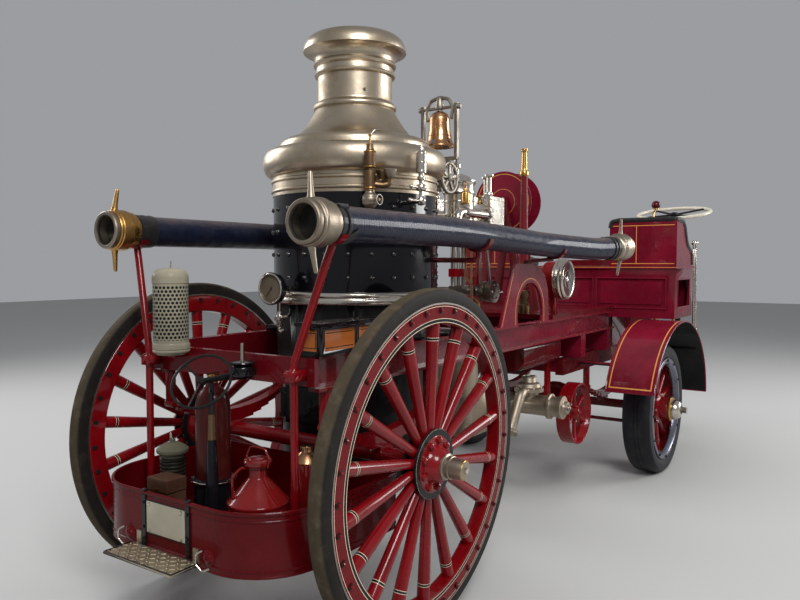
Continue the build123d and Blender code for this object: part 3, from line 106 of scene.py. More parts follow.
class Finish:
    """A procedural material whose sockets take values or expressions."""

    def __init__(self, name, roughness=0.5, metallic=0.0, coat=0.0, sheen=0.0):
        self.material = bpy.data.materials.new(name)
        self.material.use_nodes = True
        self.tree = self.material.node_tree
        self.shader = self.tree.nodes["Principled BSDF"]
        fixed = {"Roughness": roughness, "Metallic": metallic, "Coat Weight": coat, "Coat Roughness": 0.05,
                 "Sheen Weight": sheen, "Specular IOR Level": 0.5 if metallic else 0.12}
        for socket, value in fixed.items():
            self.feed(socket, value)

    def node(self, kind, settings={}, inputs={}, output=0):
        made = self.tree.nodes.new(kind)
        for key, value in settings.items():
            setattr(made, key, value)
        for key, value in inputs.items():
            self.join(made.inputs[key], value)
        return Value(self, made.outputs[output])

    def join(self, socket, value):
        if isinstance(value, Value):
            self.tree.links.new(value.socket, socket)
        else:
            socket.default_value = value

    def feed(self, socket, value):
        self.join(self.shader.inputs[socket], value)

    def place(self):
        """Object coordinates, in metres from the rear axle."""
        whole = self.node("ShaderNodeTexCoord", output=3)
        x, y, z = (self.node("ShaderNodeSeparateXYZ", {}, {0: whole}, i) for i in range(3))
        return x - AXLE, y, z

    def noise(self, scale, detail=3.0, roughness=0.55, stretch=None):
        where = self.node("ShaderNodeTexCoord", output=3)
        if stretch:
            where = self.node("ShaderNodeMapping", {}, {"Vector": where, "Scale": stretch})
        inputs = {"Vector": where, "Scale": scale, "Detail": detail, "Roughness": roughness}
        return self.node("ShaderNodeTexNoise", {}, inputs)

    def cells(self, scale):
        """Distance to the nearest of scattered points."""
        where = self.node("ShaderNodeTexCoord", output=3)
        return self.node("ShaderNodeTexVoronoi", {}, {"Vector": where, "Scale": scale})

    def mix(self, mask, below, above):
        """below where the mask is 0, above where it is 1."""
        sides = [value if isinstance(value, Value) else (*value, 1) for value in (below, above)]
        inputs = {"Factor": mask, 6: sides[0], 7: sides[1]}
        return self.node("ShaderNodeMix", {"data_type": "RGBA"}, inputs, 2)

    def colour(self, value):
        self.feed("Base Color", value)

    def bump(self, height, distance):
        self.feed("Normal", self.node("ShaderNodeBump", {}, {"Distance": distance, "Height": height}))


RED = (0.205, 0.002, 0.005)
# red with the bluish cast of window light painted in
WINDOW_LIT_RED = (0.175, 0.005, 0.019)
DEEP_RED = (0.105, 0.003, 0.006)
GOLD = (0.62, 0.27, 0.06)
CREAM = (0.80, 0.70, 0.50)
BLACK = (0.010, 0.010, 0.012)
DUST = (0.23, 0.17, 0.13)


def enamel(name, colour, roughness=0.24, coat=0.4, dust=0.03):
    """Gloss coach enamel: slightly uneven, with a broken film of dust and fine orange-peel."""
    finish = Finish(name, roughness, coat=coat)
    patch = finish.noise(4.0, 4).ease(0.35, 0.7)
    base = finish.mix(patch, [channel * 0.7 for channel in colour], colour)
    film = finish.noise(9.0, 6, 0.65).ease(0.45, 0.85)
    base = finish.mix(film * dust, base, DUST)
    finish.feed("Roughness", roughness + film * 0.13 + finish.noise(30.0, 3) * 0.06)
    finish.bump(finish.noise(90.0, 2), 0.0002)
    return finish, base


def plain_enamel(*look):
    finish, base = enamel(*look)
    finish.colour(base)
    return finish.material


def metal(name, colour, stain, roughness, spots, dents=0.0007):
    """Plated or polished metal with stains, fine scratches and a broken polish."""
    finish = Finish(name, roughness, metallic=1.0)
    worn = finish.noise(5.0, 7, 0.65).ease(0.42, 0.72)
    fine = finish.noise(46.0, 4, 0.7)
    pits = finish.cells(160.0).ease(0.05, 0.12)
    finish.colour(finish.mix((worn * spots + fine * 0.15) * (1.1 - pits * 0.1), colour, stain))
    finish.feed("Roughness", roughness + worn * 0.20 + fine * 0.10)
    finish.bump(finish.noise(26.0, 4) + fine * 0.2, dents)
    return finish.material


def wheel_finish(name, side):
    """Red wheel with a cream, black and cream line inside the felloe, spoke bands and a ridge line."""
    finish, base = enamel(name, RED, coat=0.5)
    x, y, z = finish.place()
    lean = radians(2.3)
    hub_y, hub_z = 0.757 * side, 0.7872
    up = (z - hub_z) * cos(lean) + (y - hub_y) * (side * sin(lean))
    out = (y - hub_y) * (side * cos(lean)) - (z - hub_z) * sin(lean)
    r = (x * x + up * up) ** 0.5
    turned_by = (up.angle_of(x) * (18 / (2 * pi)) + 18.5).fraction()
    off = (turned_by - 0.5) * r * (2 * pi / 18)
    face = out > 0.012
    flat = face * (r > 0.628)
    spoke = r.between(0.159, 0.6275)
    cream = (r.near(0.6365, 0.0012) + r.near(0.6525, 0.0012) + r.near(0.708, 0.0011)) * face
    cream = cream + (r.near(0.5550, 0.0010) + r.near(0.5670, 0.0010)) * spoke
    cream = cream + off.near(0.0, 0.0012) * spoke * (r < 0.553) * face
    cream = cream + r.near(0.1570, 0.0010) * (out > 0.0375)
    black = r.near(0.6445, 0.0068) * face + r.near(0.561, 0.0050) * spoke
    ring = r.between(0.129, 0.170) * (abs(out) > 0.023) * (abs(out) < 0.045)
    base = finish.mix(flat * 0.65, base, DEEP_RED)
    base = finish.mix(black + ring, base, BLACK)
    finish.colour(finish.mix(cream, base, CREAM))
    finish.feed("Coat Weight", 0.5 - (flat + ring) * 0.42)
    return finish.material


def rubber_tread():
    """Old solid rubber: dusty brown-grey tread, darker sides, cuts and rub marks."""
    finish = Finish("rubber", 0.72)
    x, y, z = finish.place()
    r = (x * x + (z - 0.787) * (z - 0.787)) ** 0.5
    tread = r.ease(0.772, 0.786)
    mottle = finish.noise(16.0, 6, 0.7)
    base = finish.mix(tread, (0.013, 0.011, 0.010), (0.056, 0.043, 0.027))
    finish.colour(finish.mix(mottle.ease(0.45, 0.75) * (0.12 + tread * 0.40), base, (0.14, 0.108, 0.070)))
    finish.feed("Roughness", 0.50 + tread * 0.22 + mottle * 0.15)
    finish.bump(mottle + finish.noise(120.0, 2) * 0.4, 0.0012)
    return finish.material


def wound_hose():
    """Black rubber hose over a wire helix: close ribs, a grey bloom on top and pale scuffs; the black is
    tinted blue as a painted sheen.
    """
    finish = Finish("hose", 0.3, coat=0.22)
    x, y, z = finish.place()
    ribs = ((x + abs(y) * 0.25 + finish.noise(3.0, 2) * 0.02) * (2 * pi / 0.017)).sine()
    slow = ((x - z * 0.15) * (2 * pi / 0.094)).sine()
    top = (z - 1.84 + (x - 0.5).either(0.0) * 0.036).ease(0.028, 0.072)
    bloom = finish.noise(12.0, 5, 0.7, (0.5, 1, 1)).ease(0.35, 0.75)
    # the blue in the black base is a painted sheen of bluish window light
    base = finish.mix(bloom * 0.3, (0.008, 0.011, 0.026), (0.040, 0.040, 0.058))
    base = finish.mix(top * (0.35 + bloom * 0.45), base, (0.115, 0.082, 0.072))
    scuff = finish.noise(34.0, 5, 0.7, (1.0, 1.6, 1.6)).ease(0.66, 0.69) * top * (x < 0.25)
    finish.colour(finish.mix(scuff, base, (0.42, 0.38, 0.33)))
    finish.feed("Roughness", 0.30 + bloom * 0.14 + top * 0.25)
    finish.bump(ribs * 0.35 + slow * 0.8 + finish.noise(16.0, 4) * 3.0 + finish.noise(70.0, 3) * 0.8, 0.0014)
    return finish.material


def perforated():
    """Grey painted strainer sheet with staggered rows of round holes, painted near-black as the shade inside
    the drum.
    """
    finish, base = enamel("holes", (0.30, 0.272, 0.20), 0.45, 0.1)
    x, y, z = finish.place()
    round_drum = (y - 0.250).angle_of(x + 0.600) * 0.078
    row = z / 0.0172
    odd = (row * 0.5).fraction() > 0.5
    across = (round_drum / 0.0185 + odd * 0.5).fraction() - 0.5
    up = row.fraction() - 0.5
    hole = ((across * across * 1.15 + up * up) ** 0.5 < 0.375) * z.between(1.336, 1.582)
    # painted shade: each hole is near-black for the unlit inside of the drum
    finish.colour(finish.mix(hole, base, (0.006, 0.006, 0.006)))
    finish.bump(1 - hole, 0.002)
    return finish.material


def lined_red(name, lines):
    """Red enamel with the bluish cast of window light painted in, darkening to a painted shade towards the
    rear, with gold lines; lines(x, y, z) gives their mask.
    """
    finish, base = enamel(name, WINDOW_LIT_RED)
    x, y, z = finish.place()
    # painted light and shade along the rails: window-lit purple red forward, deep shaded red at the rear
    base = finish.mix(x.ease(-0.2, 1.3), DEEP_RED, base)
    finish.colour(finish.mix(lines(x, y, z), base, GOLD))
    return finish.material


def rail_lines(x, y, z):
    """Lines along the rails and round the crane-neck's arch."""
    rail = (z.near(1.166, 0.0022) + z.near(1.284, 0.0022)) * x.between(-0.46, 3.2) * (abs(y) > 0.5285)
    rail = rail * (1 - x.between(1.175, 1.875) * (z > 1.25))
    over = ((x - 1.590) * (x - 1.590) + (z - 1.370) * (z - 1.370)) ** 0.5
    arch = over.near(0.2165, 0.003) * (z > 1.370)
    arch = arch + abs(x - 1.590).near(0.2165, 0.003) * z.between(1.30, 1.370)
    leg = (z - 1.300 - (x - 1.185) * 2.06).near(0.0, 0.007) * z.between(1.30, 1.625)
    return rail.either(arch.either(leg) * (abs(y) > 0.5135) * (z > 1.295))


def fender_lines(x, y, z):
    """An inset line round the fender's outer face."""
    along = abs(y).near(1.022, 0.0045) + abs(y).near(0.718, 0.0045)
    end = z.near(0.7685, 0.0045) * (x < 3.3) + z.near(0.5685, 0.0045) * (x > 4.0)
    return (along * ((z > 0.766) + (z > 0.566) * (x > 4.0))).either(end * abs(y).between(0.716, 1.024))


def seat_lines(x, y, z):
    """Lines on the seat backs' outer faces."""
    level = z.near(1.682, 0.003) + z.near(1.996, 0.003)
    upright = abs(y).near(0.655, 0.003) * z.between(1.682, 1.996)
    return (level * abs(y).between(0.448, 0.962)).either(upright) * (x < 3.412)


def box_lines(x, y, z):
    """A line along the sill over the seat box's rear panels."""
    return z.near(1.651, 0.0022) * (x < 3.392)


def grained(name, roughness, coat, grain, dark, light):
    """Varnished board or panel; grain holds the noise's scale, detail, roughness and stretch."""
    finish = Finish(name, roughness, coat=coat)
    streaks = finish.noise(*grain)
    finish.colour(finish.mix(streaks, dark, light))
    finish.bump(streaks, 0.0003)
    return finish.material


def leather(name, colour):
    """Black hide: fine pebbling, creases and rubbed high places."""
    finish = Finish(name, 0.42, coat=0.12, sheen=0.1)
    pebbles = finish.cells(260.0)
    crease = finish.noise(24.0, 6, 0.7)
    finish.colour(finish.mix(crease.ease(0.5, 0.8), colour, [channel * 2.2 + 0.01 for channel in colour]))
    finish.feed("Roughness", 0.34 + crease * 0.2)
    finish.bump(pebbles * 0.6 + crease, 0.0009)
    return finish.material


def clear_glass():
    """Lamp glass: pale, glossy, showing the reflector's rings."""
    finish = Finish("glass", 0.08, coat=1.0)
    finish.colour(finish.mix(finish.noise(30.0, 3), (0.07, 0.06, 0.06), (0.26, 0.24, 0.24)))
    finish.feed("Metallic", 0.5)
    return finish.material


def honeycomb():
    """Radiator core: dark cells between thin brass edges."""
    finish = Finish("core", 0.4, metallic=0.6)
    x, y, z = finish.place()
    cell_y, cell_z = (y / 0.011).fraction() - 0.5, (z / 0.011).fraction() - 0.5
    wall = (abs(cell_y) > 0.36).either(abs(cell_z) > 0.36)
    finish.colour(finish.mix(wall, (0.010, 0.009, 0.008), (0.26, 0.17, 0.08)))
    finish.bump(wall, 0.002)
    return finish.material


# Colour, roughness, coat and dust of each enamel
ENAMELS = {
    # the tub's red is darkened as a painted shade
    "tub": ((0.110, 0.002, 0.004), 0.24, 0.12, 0.015),
    "can": ((0.185, 0.006, 0.006), 0.18, 0.6),
    "bottle": ((0.055, 0.005, 0.004), 0.34, 0.2, 0.08),
    "lantern": ((0.016, 0.015, 0.011), 0.4, 0.2, 0.06),
    "gold": (GOLD,),
    # red with the bluish cast of window light painted in
    "window_lit_red": (WINDOW_LIT_RED,),
    "red": (RED,),
    "deep": (DEEP_RED,),
    "canvas": ((0.30, 0.25, 0.17), 0.8, 0.0, 0.3),
    "pipe": ((0.16, 0.010, 0.014), 0.42, 0.2, 0.1),
    "iron": ((0.014, 0.013, 0.013), 0.42, 0.1),
    "black": ((0.006, 0.006, 0.008), 0.16, 0.5),
    "jacket": ((0.004, 0.004, 0.006), 0.12, 0.45, 0.01),
    "tyre": ((0.014, 0.014, 0.018), 0.5, 0.1, 0.12),
    "green": ((0.125, 0.120, 0.080), 0.5, 0.1, 0.3),
    "tin": ((0.075, 0.032, 0.018), 0.5, 0.1, 0.25),
    "plate": ((0.56, 0.52, 0.40), 0.42, 0.2, 0.2),
    "dial": ((0.15, 0.115, 0.075), 0.5, 0.6),
}
# Colour, stain, roughness, share of spots and depth of dents of each metal
METALS = {
    "tread": ((0.58, 0.51, 0.38), (0.24, 0.19, 0.12), 0.34, 0.6),
    "rim": ((0.20, 0.21, 0.26), (0.07, 0.05, 0.05), 0.22, 0.6),
    "dull": ((0.37, 0.315, 0.25), (0.17, 0.13, 0.09), 0.33, 0.6),
    "nickel": ((0.52, 0.44, 0.335), (0.25, 0.185, 0.12), 0.27, 0.6),
    "bright": ((0.66, 0.61, 0.54), (0.32, 0.26, 0.19), 0.14, 0.35, 0.0003),
    "brass": ((0.60, 0.35, 0.11), (0.24, 0.12, 0.04), 0.22, 0.5),
    "bronze": ((0.22, 0.14, 0.075), (0.09, 0.055, 0.03), 0.33, 0.6),
    "copper": ((0.50, 0.27, 0.14), (0.20, 0.09, 0.045), 0.16, 0.4),
    "steel": ((0.36, 0.33, 0.30), (0.15, 0.12, 0.09), 0.3, 0.6),
    "snap": ((0.11, 0.105, 0.10), (0.03, 0.03, 0.03), 0.18, 0.4),
    "grey": ((0.29, 0.26, 0.22), (0.12, 0.095, 0.07), 0.40, 0.6),
    "cream": ((0.36, 0.30, 0.23), (0.16, 0.12, 0.085), 0.42, 0.6),
}
PAINTS = {
    "wheel_right": wheel_finish("wheel_right", -1),
    "wheel_left": wheel_finish("wheel_left", 1),
    "rails": lined_red("rails", rail_lines),
    "fender": lined_red("fender", fender_lines),
    "seat": lined_red("seat", seat_lines),
    "box": lined_red("box", box_lines),
    "rubber": rubber_tread(),
    "hose": wound_hose(),
    "strap": leather("strap", (0.012, 0.011, 0.011)),
    "leather": leather("leather", (0.014, 0.012, 0.012)),
    "holes": perforated(),
    "panel": grained("panel", 0.3, 0.5, (20.0, 5, 0.6, (0.25, 1.0, 1.6)),
                     (0.30, 0.075, 0.012), (0.46, 0.135, 0.022)),
    "wood": grained("wood", 0.35, 0.4, (30.0, 6, 0.6, (0.2, 1, 1)), (0.46, 0.41, 0.33), (0.66, 0.60, 0.50)),
    "glass": clear_glass(),
    "core": honeycomb(),
    **{name: plain_enamel(name, *look) for name, look in ENAMELS.items()},
    **{name: metal(name, *look) for name, look in METALS.items()},
}

# Places and shapes, in millimetres

FORWARD, BACK, LEFT, RIGHT, UP = (1, 0, 0), (-1, 0, 0), (0, 1, 0), (0, -1, 0), (0, 0, 1)
OUTWARD = Matrix.Rotation(pi / 2, 4, "Y")  # turns Z to +X, so a rivet stands out from a wall


def at(x, y, z):
    return Matrix.Translation((x, y, z))


def turn(angle):
    return Matrix.Rotation(angle, 4, "Z")


def aimed(where, axis, angle=0.0):
    """Matrix that puts a shape's Z along an axis at a point."""
    return at(*where) @ Vector(axis).to_track_quat("Z", "Y").to_matrix().to_4x4() @ turn(angle)


def around(count, r, up=0, start=0.0, last=Matrix.Identity(4)):
    """Places on a circle about Z, each turned to face out."""
    return [turn(start + 2 * pi * i / count) @ at(r, 0, up) @ last for i in range(count)]


def only(items, kind):
    return [item for item in items if isinstance(item, kind)]


def whole(shape):
    return shape.verts[:] + shape.edges[:] + shape.faces[:]


def cleaned(shape):
    bmesh.ops.remove_doubles(shape, verts=shape.verts, dist=0.01)
    bmesh.ops.recalc_face_normals(shape, faces=shape.faces)
    return shape


def ring_outline(half):
    """Closed outline from its upper half, mirrored about height 0."""
    low = [(r, -h) for r, h in reversed(half)]
    return [*low, *half, low[0]]


def turned(outline, steps):
    """Solid of (radius, height) points spun about Z."""
    shape = bmesh.new()
    points = [shape.verts.new((max(r, 0.0), 0, h)) for r, h in outline]
    edges = [shape.edges.new(pair) for pair in zip(points, points[1:])]
    bmesh.ops.spin(shape, geom=points + edges, cent=(0, 0, 0), axis=UP, angle=2 * pi, steps=steps,
                   use_merge=True)
    return cleaned(shape)


def rod(r, length, r_end=None, sides=20):
    """Round bar along Z from the origin."""
    shape = bmesh.new()
    bmesh.ops.create_cone(shape, cap_ends=True, segments=sides, radius1=r,
                          radius2=r if r_end is None else r_end, depth=length, matrix=at(0, 0, length / 2))
    return shape


def ball(r, squash=1.0, sides=20):
    shape = bmesh.new()
    bmesh.ops.create_uvsphere(shape, u_segments=sides, v_segments=sides // 2, radius=r,
                              matrix=Matrix.Diagonal((1, 1, squash, 1)))
    return shape


def block(x, y, z, edge=2.0):
    """Box between limits, its edges eased."""
    shape = bmesh.new()
    size = [high - low for low, high in (x, y, z)]
    middle = [(low + high) / 2 for low, high in (x, y, z)]
    bmesh.ops.create_cube(shape, size=1, matrix=at(*middle) @ Matrix.Diagonal((*size, 1)))
    if edge:
        bmesh.ops.bevel(shape, geom=shape.edges[:], offset=min(edge, min(size) / 3), affect="EDGES",
                        segments=2, profile=0.5, material=-1)
    return shape


def tube(points, r, bend, sides=16, closed=False):
    """Round tube along straight runs with eased corners."""
    def toward(corner, other):
        way = other - corner
        return corner + way.normalized() * min(bend, way.length * 0.45)
    corners = [Vector(point) for point in points]
    last = len(corners) - 1
    route = []
    for i, corner in enumerate(corners):
        if closed or 0 < i < last:
            after = corners[0 if i == last else i + 1]
            route += [toward(corner, corners[i - 1]), corner, toward(corner, after)]
        else:
            route.append(corner)
    line = bpy.data.curves.new("tube", "CURVE")
    line.dimensions = "3D"
    line.bevel_depth = r
    line.bevel_resolution = max(sides // 4 - 1, 1)
    line.use_fill_caps = not closed
    spline = line.splines.new("NURBS")
    spline.points.add(len(route) - 1)
    for point, where in zip(spline.points, route):
        point.co = (*where, 1)
    spline.order_u = 3
    spline.use_endpoint_u = not closed
    spline.use_cyclic_u = closed
    spline.resolution_u = 6
    holder = bpy.data.objects.new("tube", line)
    bpy.context.scene.collection.objects.link(holder)
    mesh = bpy.data.meshes.new_from_object(holder)
    shape = bmesh.new()
    shape.from_mesh(mesh)
    bpy.data.objects.remove(holder)
    bpy.data.curves.remove(line)
    bpy.data.meshes.remove(mesh)
    return cleaned(shape)


def carried(profile, path, axis):
    """Wall or strip: a profile taken along straight moves, and along arcs of (centre, angle, steps)."""
    shape = bmesh.new()
    points = [shape.verts.new(point) for point in profile]
    front = [shape.edges.new(pair) for pair in zip(points, points[1:])]
    for move in path:
        if isinstance(move[0], tuple):
            centre, angle, steps = move
            ends = {vert for edge in front for vert in edge.verts}
            made = bmesh.ops.spin(shape, geom=[*ends, *front], cent=centre, axis=axis, angle=angle,
                                  steps=steps)
            front = only(made["geom_last"], bmesh.types.BMEdge)
        else:
            made = bmesh.ops.extrude_edge_only(shape, edges=front)["geom"]
            ends = set(only(made, bmesh.types.BMVert))
            bmesh.ops.translate(shape, vec=move, verts=list(ends))
            front = [edge for edge in only(made, bmesh.types.BMEdge) if set(edge.verts) <= ends]
    bmesh.ops.remove_doubles(shape, verts=shape.verts, dist=0.01)
    bmesh.ops.holes_fill(shape, edges=[edge for edge in shape.edges if edge.is_boundary])
    return cleaned(shape)


class Piece:
    """One visible piece, built up from shapes, each in its own paint."""

    def __init__(self, name, node):
        self.name = name
        self.node = node
        self.base = at(0, 0, 0)  # moves all that is added
        self.mesh = bmesh.new()
        self.paints = []

    def paint_number(self, paint):
        if paint not in self.paints:
            self.paints.append(paint)
        return self.paints.index(paint)

    def cad(self, paint, *spots):
        """Take over the construction piece; each spot is a paint and a test of the faces that get it."""
        shape = bmesh.new()
        shape.from_mesh(frame["nodes"][self.node].data)
        bmesh.ops.transform(shape, matrix=SHOP.inverted(), verts=shape.verts)
        bmesh.ops.remove_doubles(shape, verts=shape.verts, dist=0.002)
        for face in shape.faces:
            middle = face.calc_center_median()
            own = next((other for other, test in spots if test(*middle)), paint)
            face.material_index = self.paint_number(own)
        return self.add(shape)

    def add(self, shape, paint=None, *places):
        """Join a shape at each of the places, or where it was made."""
        if paint:
            for face in shape.faces:
                face.material_index = self.paint_number(paint)
        carrier = bpy.data.meshes.new("carrier")
        shape.to_mesh(carrier)
        shape.free()
        for place in places or (at(0, 0, 0),):
            copy = carrier.copy()
            copy.transform(self.base @ place)
            self.mesh.from_mesh(copy)
            bpy.data.meshes.remove(copy)
        bpy.data.meshes.remove(carrier)
        return self

    def spin(self, outline, steps, paint, *places):
        return self.add(turned(outline, steps), paint, *places)

    def box(self, x, y, z, edge, paint, *places):
        return self.add(block(x, y, z, edge), paint, *places)

    def pipe(self, points, r, bend, paint, sides=16, closed=False):
        return self.add(tube(points, r, bend, sides, closed), paint)

    def ring(self, r, wire, paint, *places, steps=56):
        """Round wire ring about Z."""
        turns = [2 * pi * i / 10 for i in range(11)]
        return self.spin([(r + wire * cos(a), wire * sin(a)) for a in turns], steps, paint, *places)

    def bar(self, start, end, r, paint, r_end=None):
        way = Vector(end) - Vector(start)
        return self.add(rod(r, way.length, r_end), paint, aimed(start, way))

    def nuts(self, paint, *places):
        return self.spin([(7, -1), (7, 3), (5, 6), (0, 7)], 8, paint, *places)

    def flange(self, centre, axis, r, count, paint, size=1.0):
        """A ring of nuts on a flange."""
        places = around(count, r, last=Matrix.Scale(size, 4))
        return self.nuts(paint, *[aimed(centre, axis) @ place for place in places])

    def mirrored(self):
        """Turn the piece into its left-hand twin."""
        bmesh.ops.scale(self.mesh, vec=(1, -1, 1), verts=self.mesh.verts)
        bmesh.ops.reverse_faces(self.mesh, faces=self.mesh.faces)
        return self

    def both_sides(self):
        """Add the left-hand twin of everything so far."""
        twin = bmesh.ops.duplicate(self.mesh, geom=whole(self.mesh))["geom"]
        bmesh.ops.scale(self.mesh, vec=(1, -1, 1), verts=only(twin, bmesh.types.BMVert))
        bmesh.ops.reverse_faces(self.mesh, faces=only(twin, bmesh.types.BMFace))
        return self

    def done(self, sharp=34):
        """Make the object, in metres, riding on its body in place of its node."""
        bmesh.ops.transform(self.mesh, matrix=SHOP, verts=self.mesh.verts)
        mesh = bpy.data.meshes.new(self.name)
        self.mesh.to_mesh(mesh)
        self.mesh.free()
        mesh.shade_smooth()
        mesh.set_sharp_from_angle(angle=radians(sharp))
        for paint in self.paints:
            mesh.materials.append(PAINTS[paint])
        made = bpy.data.objects.new(self.name, mesh)
        bpy.context.scene.collection.objects.link(made)
        made.modifiers.new("even_shading", "WEIGHTED_NORMAL").keep_sharp = True
        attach(made, frame["nodes"][self.node]["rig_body"])
        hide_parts(self.node)
        DRESSED.add(self.node)
        return made


NODE_SLOT = {part["node"]: part["material_slot"] for part in frame["record"]["subparts"]}
DRESSED = set()


# Wheels

REAR_FACE = at(0, -757, 787.17) @ Matrix.Rotation(radians(92.3), 4, "X")
FRONT_FACE = at(3310, -847, 515) @ Matrix.Rotation(pi / 2, 4, "X")


def rear_wheel(piece):
    """Felloe, 18 tapered spokes, bolted hub plates, long plated cap and the lugs that hold the tyre."""
    paint = "wheel_right" if "right" in piece.node else "wheel_left"
    piece.base = REAR_FACE
    piece.spin(ring_outline([(716, 34), (712, 37), (634, 37), (628, 30)]), 144, paint)
    piece.spin([(0, 90), (21, 90), (22.5, 160), (26, 380), (29.5, 560), (30.5, 640), (0, 640)], 28, paint,
               *around(18, 0, start=pi / 18, last=OUTWARD))
    piece.spin([(0, -85), (90, -85), (120, -45), (120, -39), (156, -38), (158, -36), (158, -26), (156, -24),
                (130, -24), (130, 24), (156, 24), (158, 26), (158, 36), (156, 38), (128, 38), (124, 41),
                (92, 41), (84, 48), (80, 62), (72, 78), (66, 88), (60, 92), (58, 96)], 72, paint)
    piece.spin([(17, -1), (17, 5), (15, 12), (9, 17), (0, 19)], 20, "can", *around(9, 108, 41))
    piece.spin([(58, 92), (60, 94), (60, 102), (56, 106), (50, 108), (49, 122), (52, 124), (52, 128),
                (48, 130), (46, 160), (43, 184), (39, 192), (30, 193), (0, 193)], 48, "dull")
    piece.ring(41, 3, "brass", at(0, 0, 188), steps=48)
    piece.add(rod(15, 12, 13, 6), "bright", at(0, 0, 190))
    piece.box((-13, 13), (-9, 9), (-2, 6), 2, "iron", *around(36, 690, 38))
    piece.box((-12, 12), (-9, 9), (-6, 2), 2, "iron", *around(36, 690, -38))
    piece.spin([(7, 0), (7, 5), (4, 9), (0, 10)], 8, "red", *around(36, 690, 43))


def rear_tyre(piece):
    """Solid tyre with a flat worn tread, in a thin steel channel."""
    piece.base = REAR_FACE
    tread = ring_outline([(787, 8), (786.2, 20), (781, 30), (770, 36), (740, 37.5), (721, 36)])
    piece.spin(tread, 160, "rubber")
    piece.spin(ring_outline([(721, 34), (724, 35), (724, 38), (716.2, 38)]), 160, "steel")


def front_wheel(piece):
    """Wooden wheel with a pale bolted rim, dished red spokes, brass ring and plated cap."""
    piece.base = FRONT_FACE
    piece.spin(ring_outline([(404, 95), (369, 95)]), 96, "deep")
    piece.spin([(352, 60), (356, 54), (400, 54), (404, 60), (404, 98), (398, 103), (376, 103), (368, 96),
                (352, 70), (352, 60)], 96, "rim")
    piece.spin([(11, 0), (11, 7), (7, 13), (0, 14)], 10, "iron", *around(12, 388, 100))
    piece.spin([(362, -60), (398, -100), (404, -96), (404, -60), (362, -60)], 96, "deep")
    piece.spin([(0, 92), (22, 92), (24, 200), (27, 340), (31, 372), (0, 372)], 20, "red",
               *around(12, 0, start=pi / 12, last=OUTWARD))
    piece.spin([(33, -55), (84, -55), (105, -30), (105, 28), (122, 30), (122, 44), (104, 48), (92, 60),
                (86, 112), (84, 118), (70, 122), (33, 122), (33, -55)], 56, "red")
    piece.spin([(10, 0), (10, 6), (6, 11), (0, 12)], 10, "bright", *around(6, 112, 44))
    piece.spin([(70, 118), (92, 120), (96, 128), (96, 142), (90, 150), (74, 152), (70, 118)], 48, "brass")
    piece.spin([(33, 148), (76, 150), (80, 160), (76, 182), (66, 204), (50, 214), (33, 216), (33, 148)], 48,
               "bright")
    piece.add(rod(33, 44, 31, 4), "bright", at(0, 0, 214) @ turn(0.5))


def front_tyre(piece):
    """Wide black tyre with a ribbed shoulder."""
    piece.base = FRONT_FACE
    piece.spin(ring_outline([(514.8, 8), (510, 12), (510, 18), (514.5, 22), (514, 60), (508, 84), (490, 104),
                             (460, 110), (425, 102), (405, 90)]), 128, "tyre")


# Boiler and suction hoses

BOILER = at(450, 0, 0)
JACKET_R, JACKET_TOP, STACK_TOP = 445, 2035, 2905
HOSE_ROUTE = [(-530, -620, 1840), (500, -620, 1840), (1500, -640, 1800),
              (2080, -762, 1779), (2300, -820, 1790)]
HOSE_START, HOSE_BEND, HOSE_END = (Vector(HOSE_ROUTE[i]) for i in (0, -2, -1))
HOSE_WAY = (HOSE_END - HOSE_BEND).normalized()


def boiler_jacket(piece):
    """Gloss black shell with rows of snap-headed rivets and a lapped seam."""
    piece.base = BOILER
    piece.spin([(0, 1540), (JACKET_R, 1540), (JACKET_R, JACKET_TOP), (0, JACKET_TOP)], 128, "jacket")
    for z in range(1610, 1965, 118):
        piece.spin([(12, 0), (11.5, 4), (8.5, 8), (4, 10.5), (0, 11)], 12, "snap",
                   *around(24, JACKET_R, z, 0.05, OUTWARD))
    seam = turn(radians(-52))
    piece.box((JACKET_R - 2, JACKET_R + 4), (-34, 34), (1542, 2033), 1.5, "jacket", seam)
    piece.spin([(6, 0), (5, 4), (0, 6)], 8, "jacket",
               *[seam @ at(449, y, z) @ OUTWARD for y in (-22, 22) for z in range(1565, 2020, 34)])


def dome_outline():
    """The dome's outside from its foot to the stack's lip, as (radius, height)."""
    bead = ((0, 16), (3, 19), (8, 22), (9, 27), (8, 32), (3, 35), (0, 37))
    line = [(447.5, 1), *[(447.5 + out, up + h) for up in (0, 52) for out, h in bead], (447.5, 104)]
    line += [(447.5 + 49.5 * sin(pi / 24 * i) ** 0.85, 176 - 72 * cos(pi / 24 * i)) for i in range(1, 24)]
    line += [(447.5, 248), (440, 252), (414, 254), (410, 257), (409, 262)]
    line += [(364 + 45 * cos(pi / 16 * i), 264 + 46 * sin(pi / 16 * i)) for i in range(1, 9)]
    line += [(352 - 136 * (i / 16) ** 0.72, 314 + 156 * (i / 16) ** 1.25) for i in range(1, 17)]
    line += [(218, 474), (224, 478), (226, 486), (225, 494), (221, 500), (212, 508), (204, 514), (202, 524)]
    stack = [(202, -224), (206, -222), (217, -217), (220, -210), (217, -203), (210, -199), (209, -174),
             (216, -170), (223, -163), (225, -156), (222, -148), (215, -142)]
    stack += [(279 - 63 * cos(pi / 16 * i), 54 * sin(pi / 16 * i) - 140) for i in range(1, 9)]
    stack += [(206 + 73 * cos(pi / 24 * i), 86 * sin(pi / 24 * i) - 86) for i in range(1, 13)]
    return [(r, JACKET_TOP + h) for r, h in line] + [(r, STACK_TOP + h) for r, h in stack]


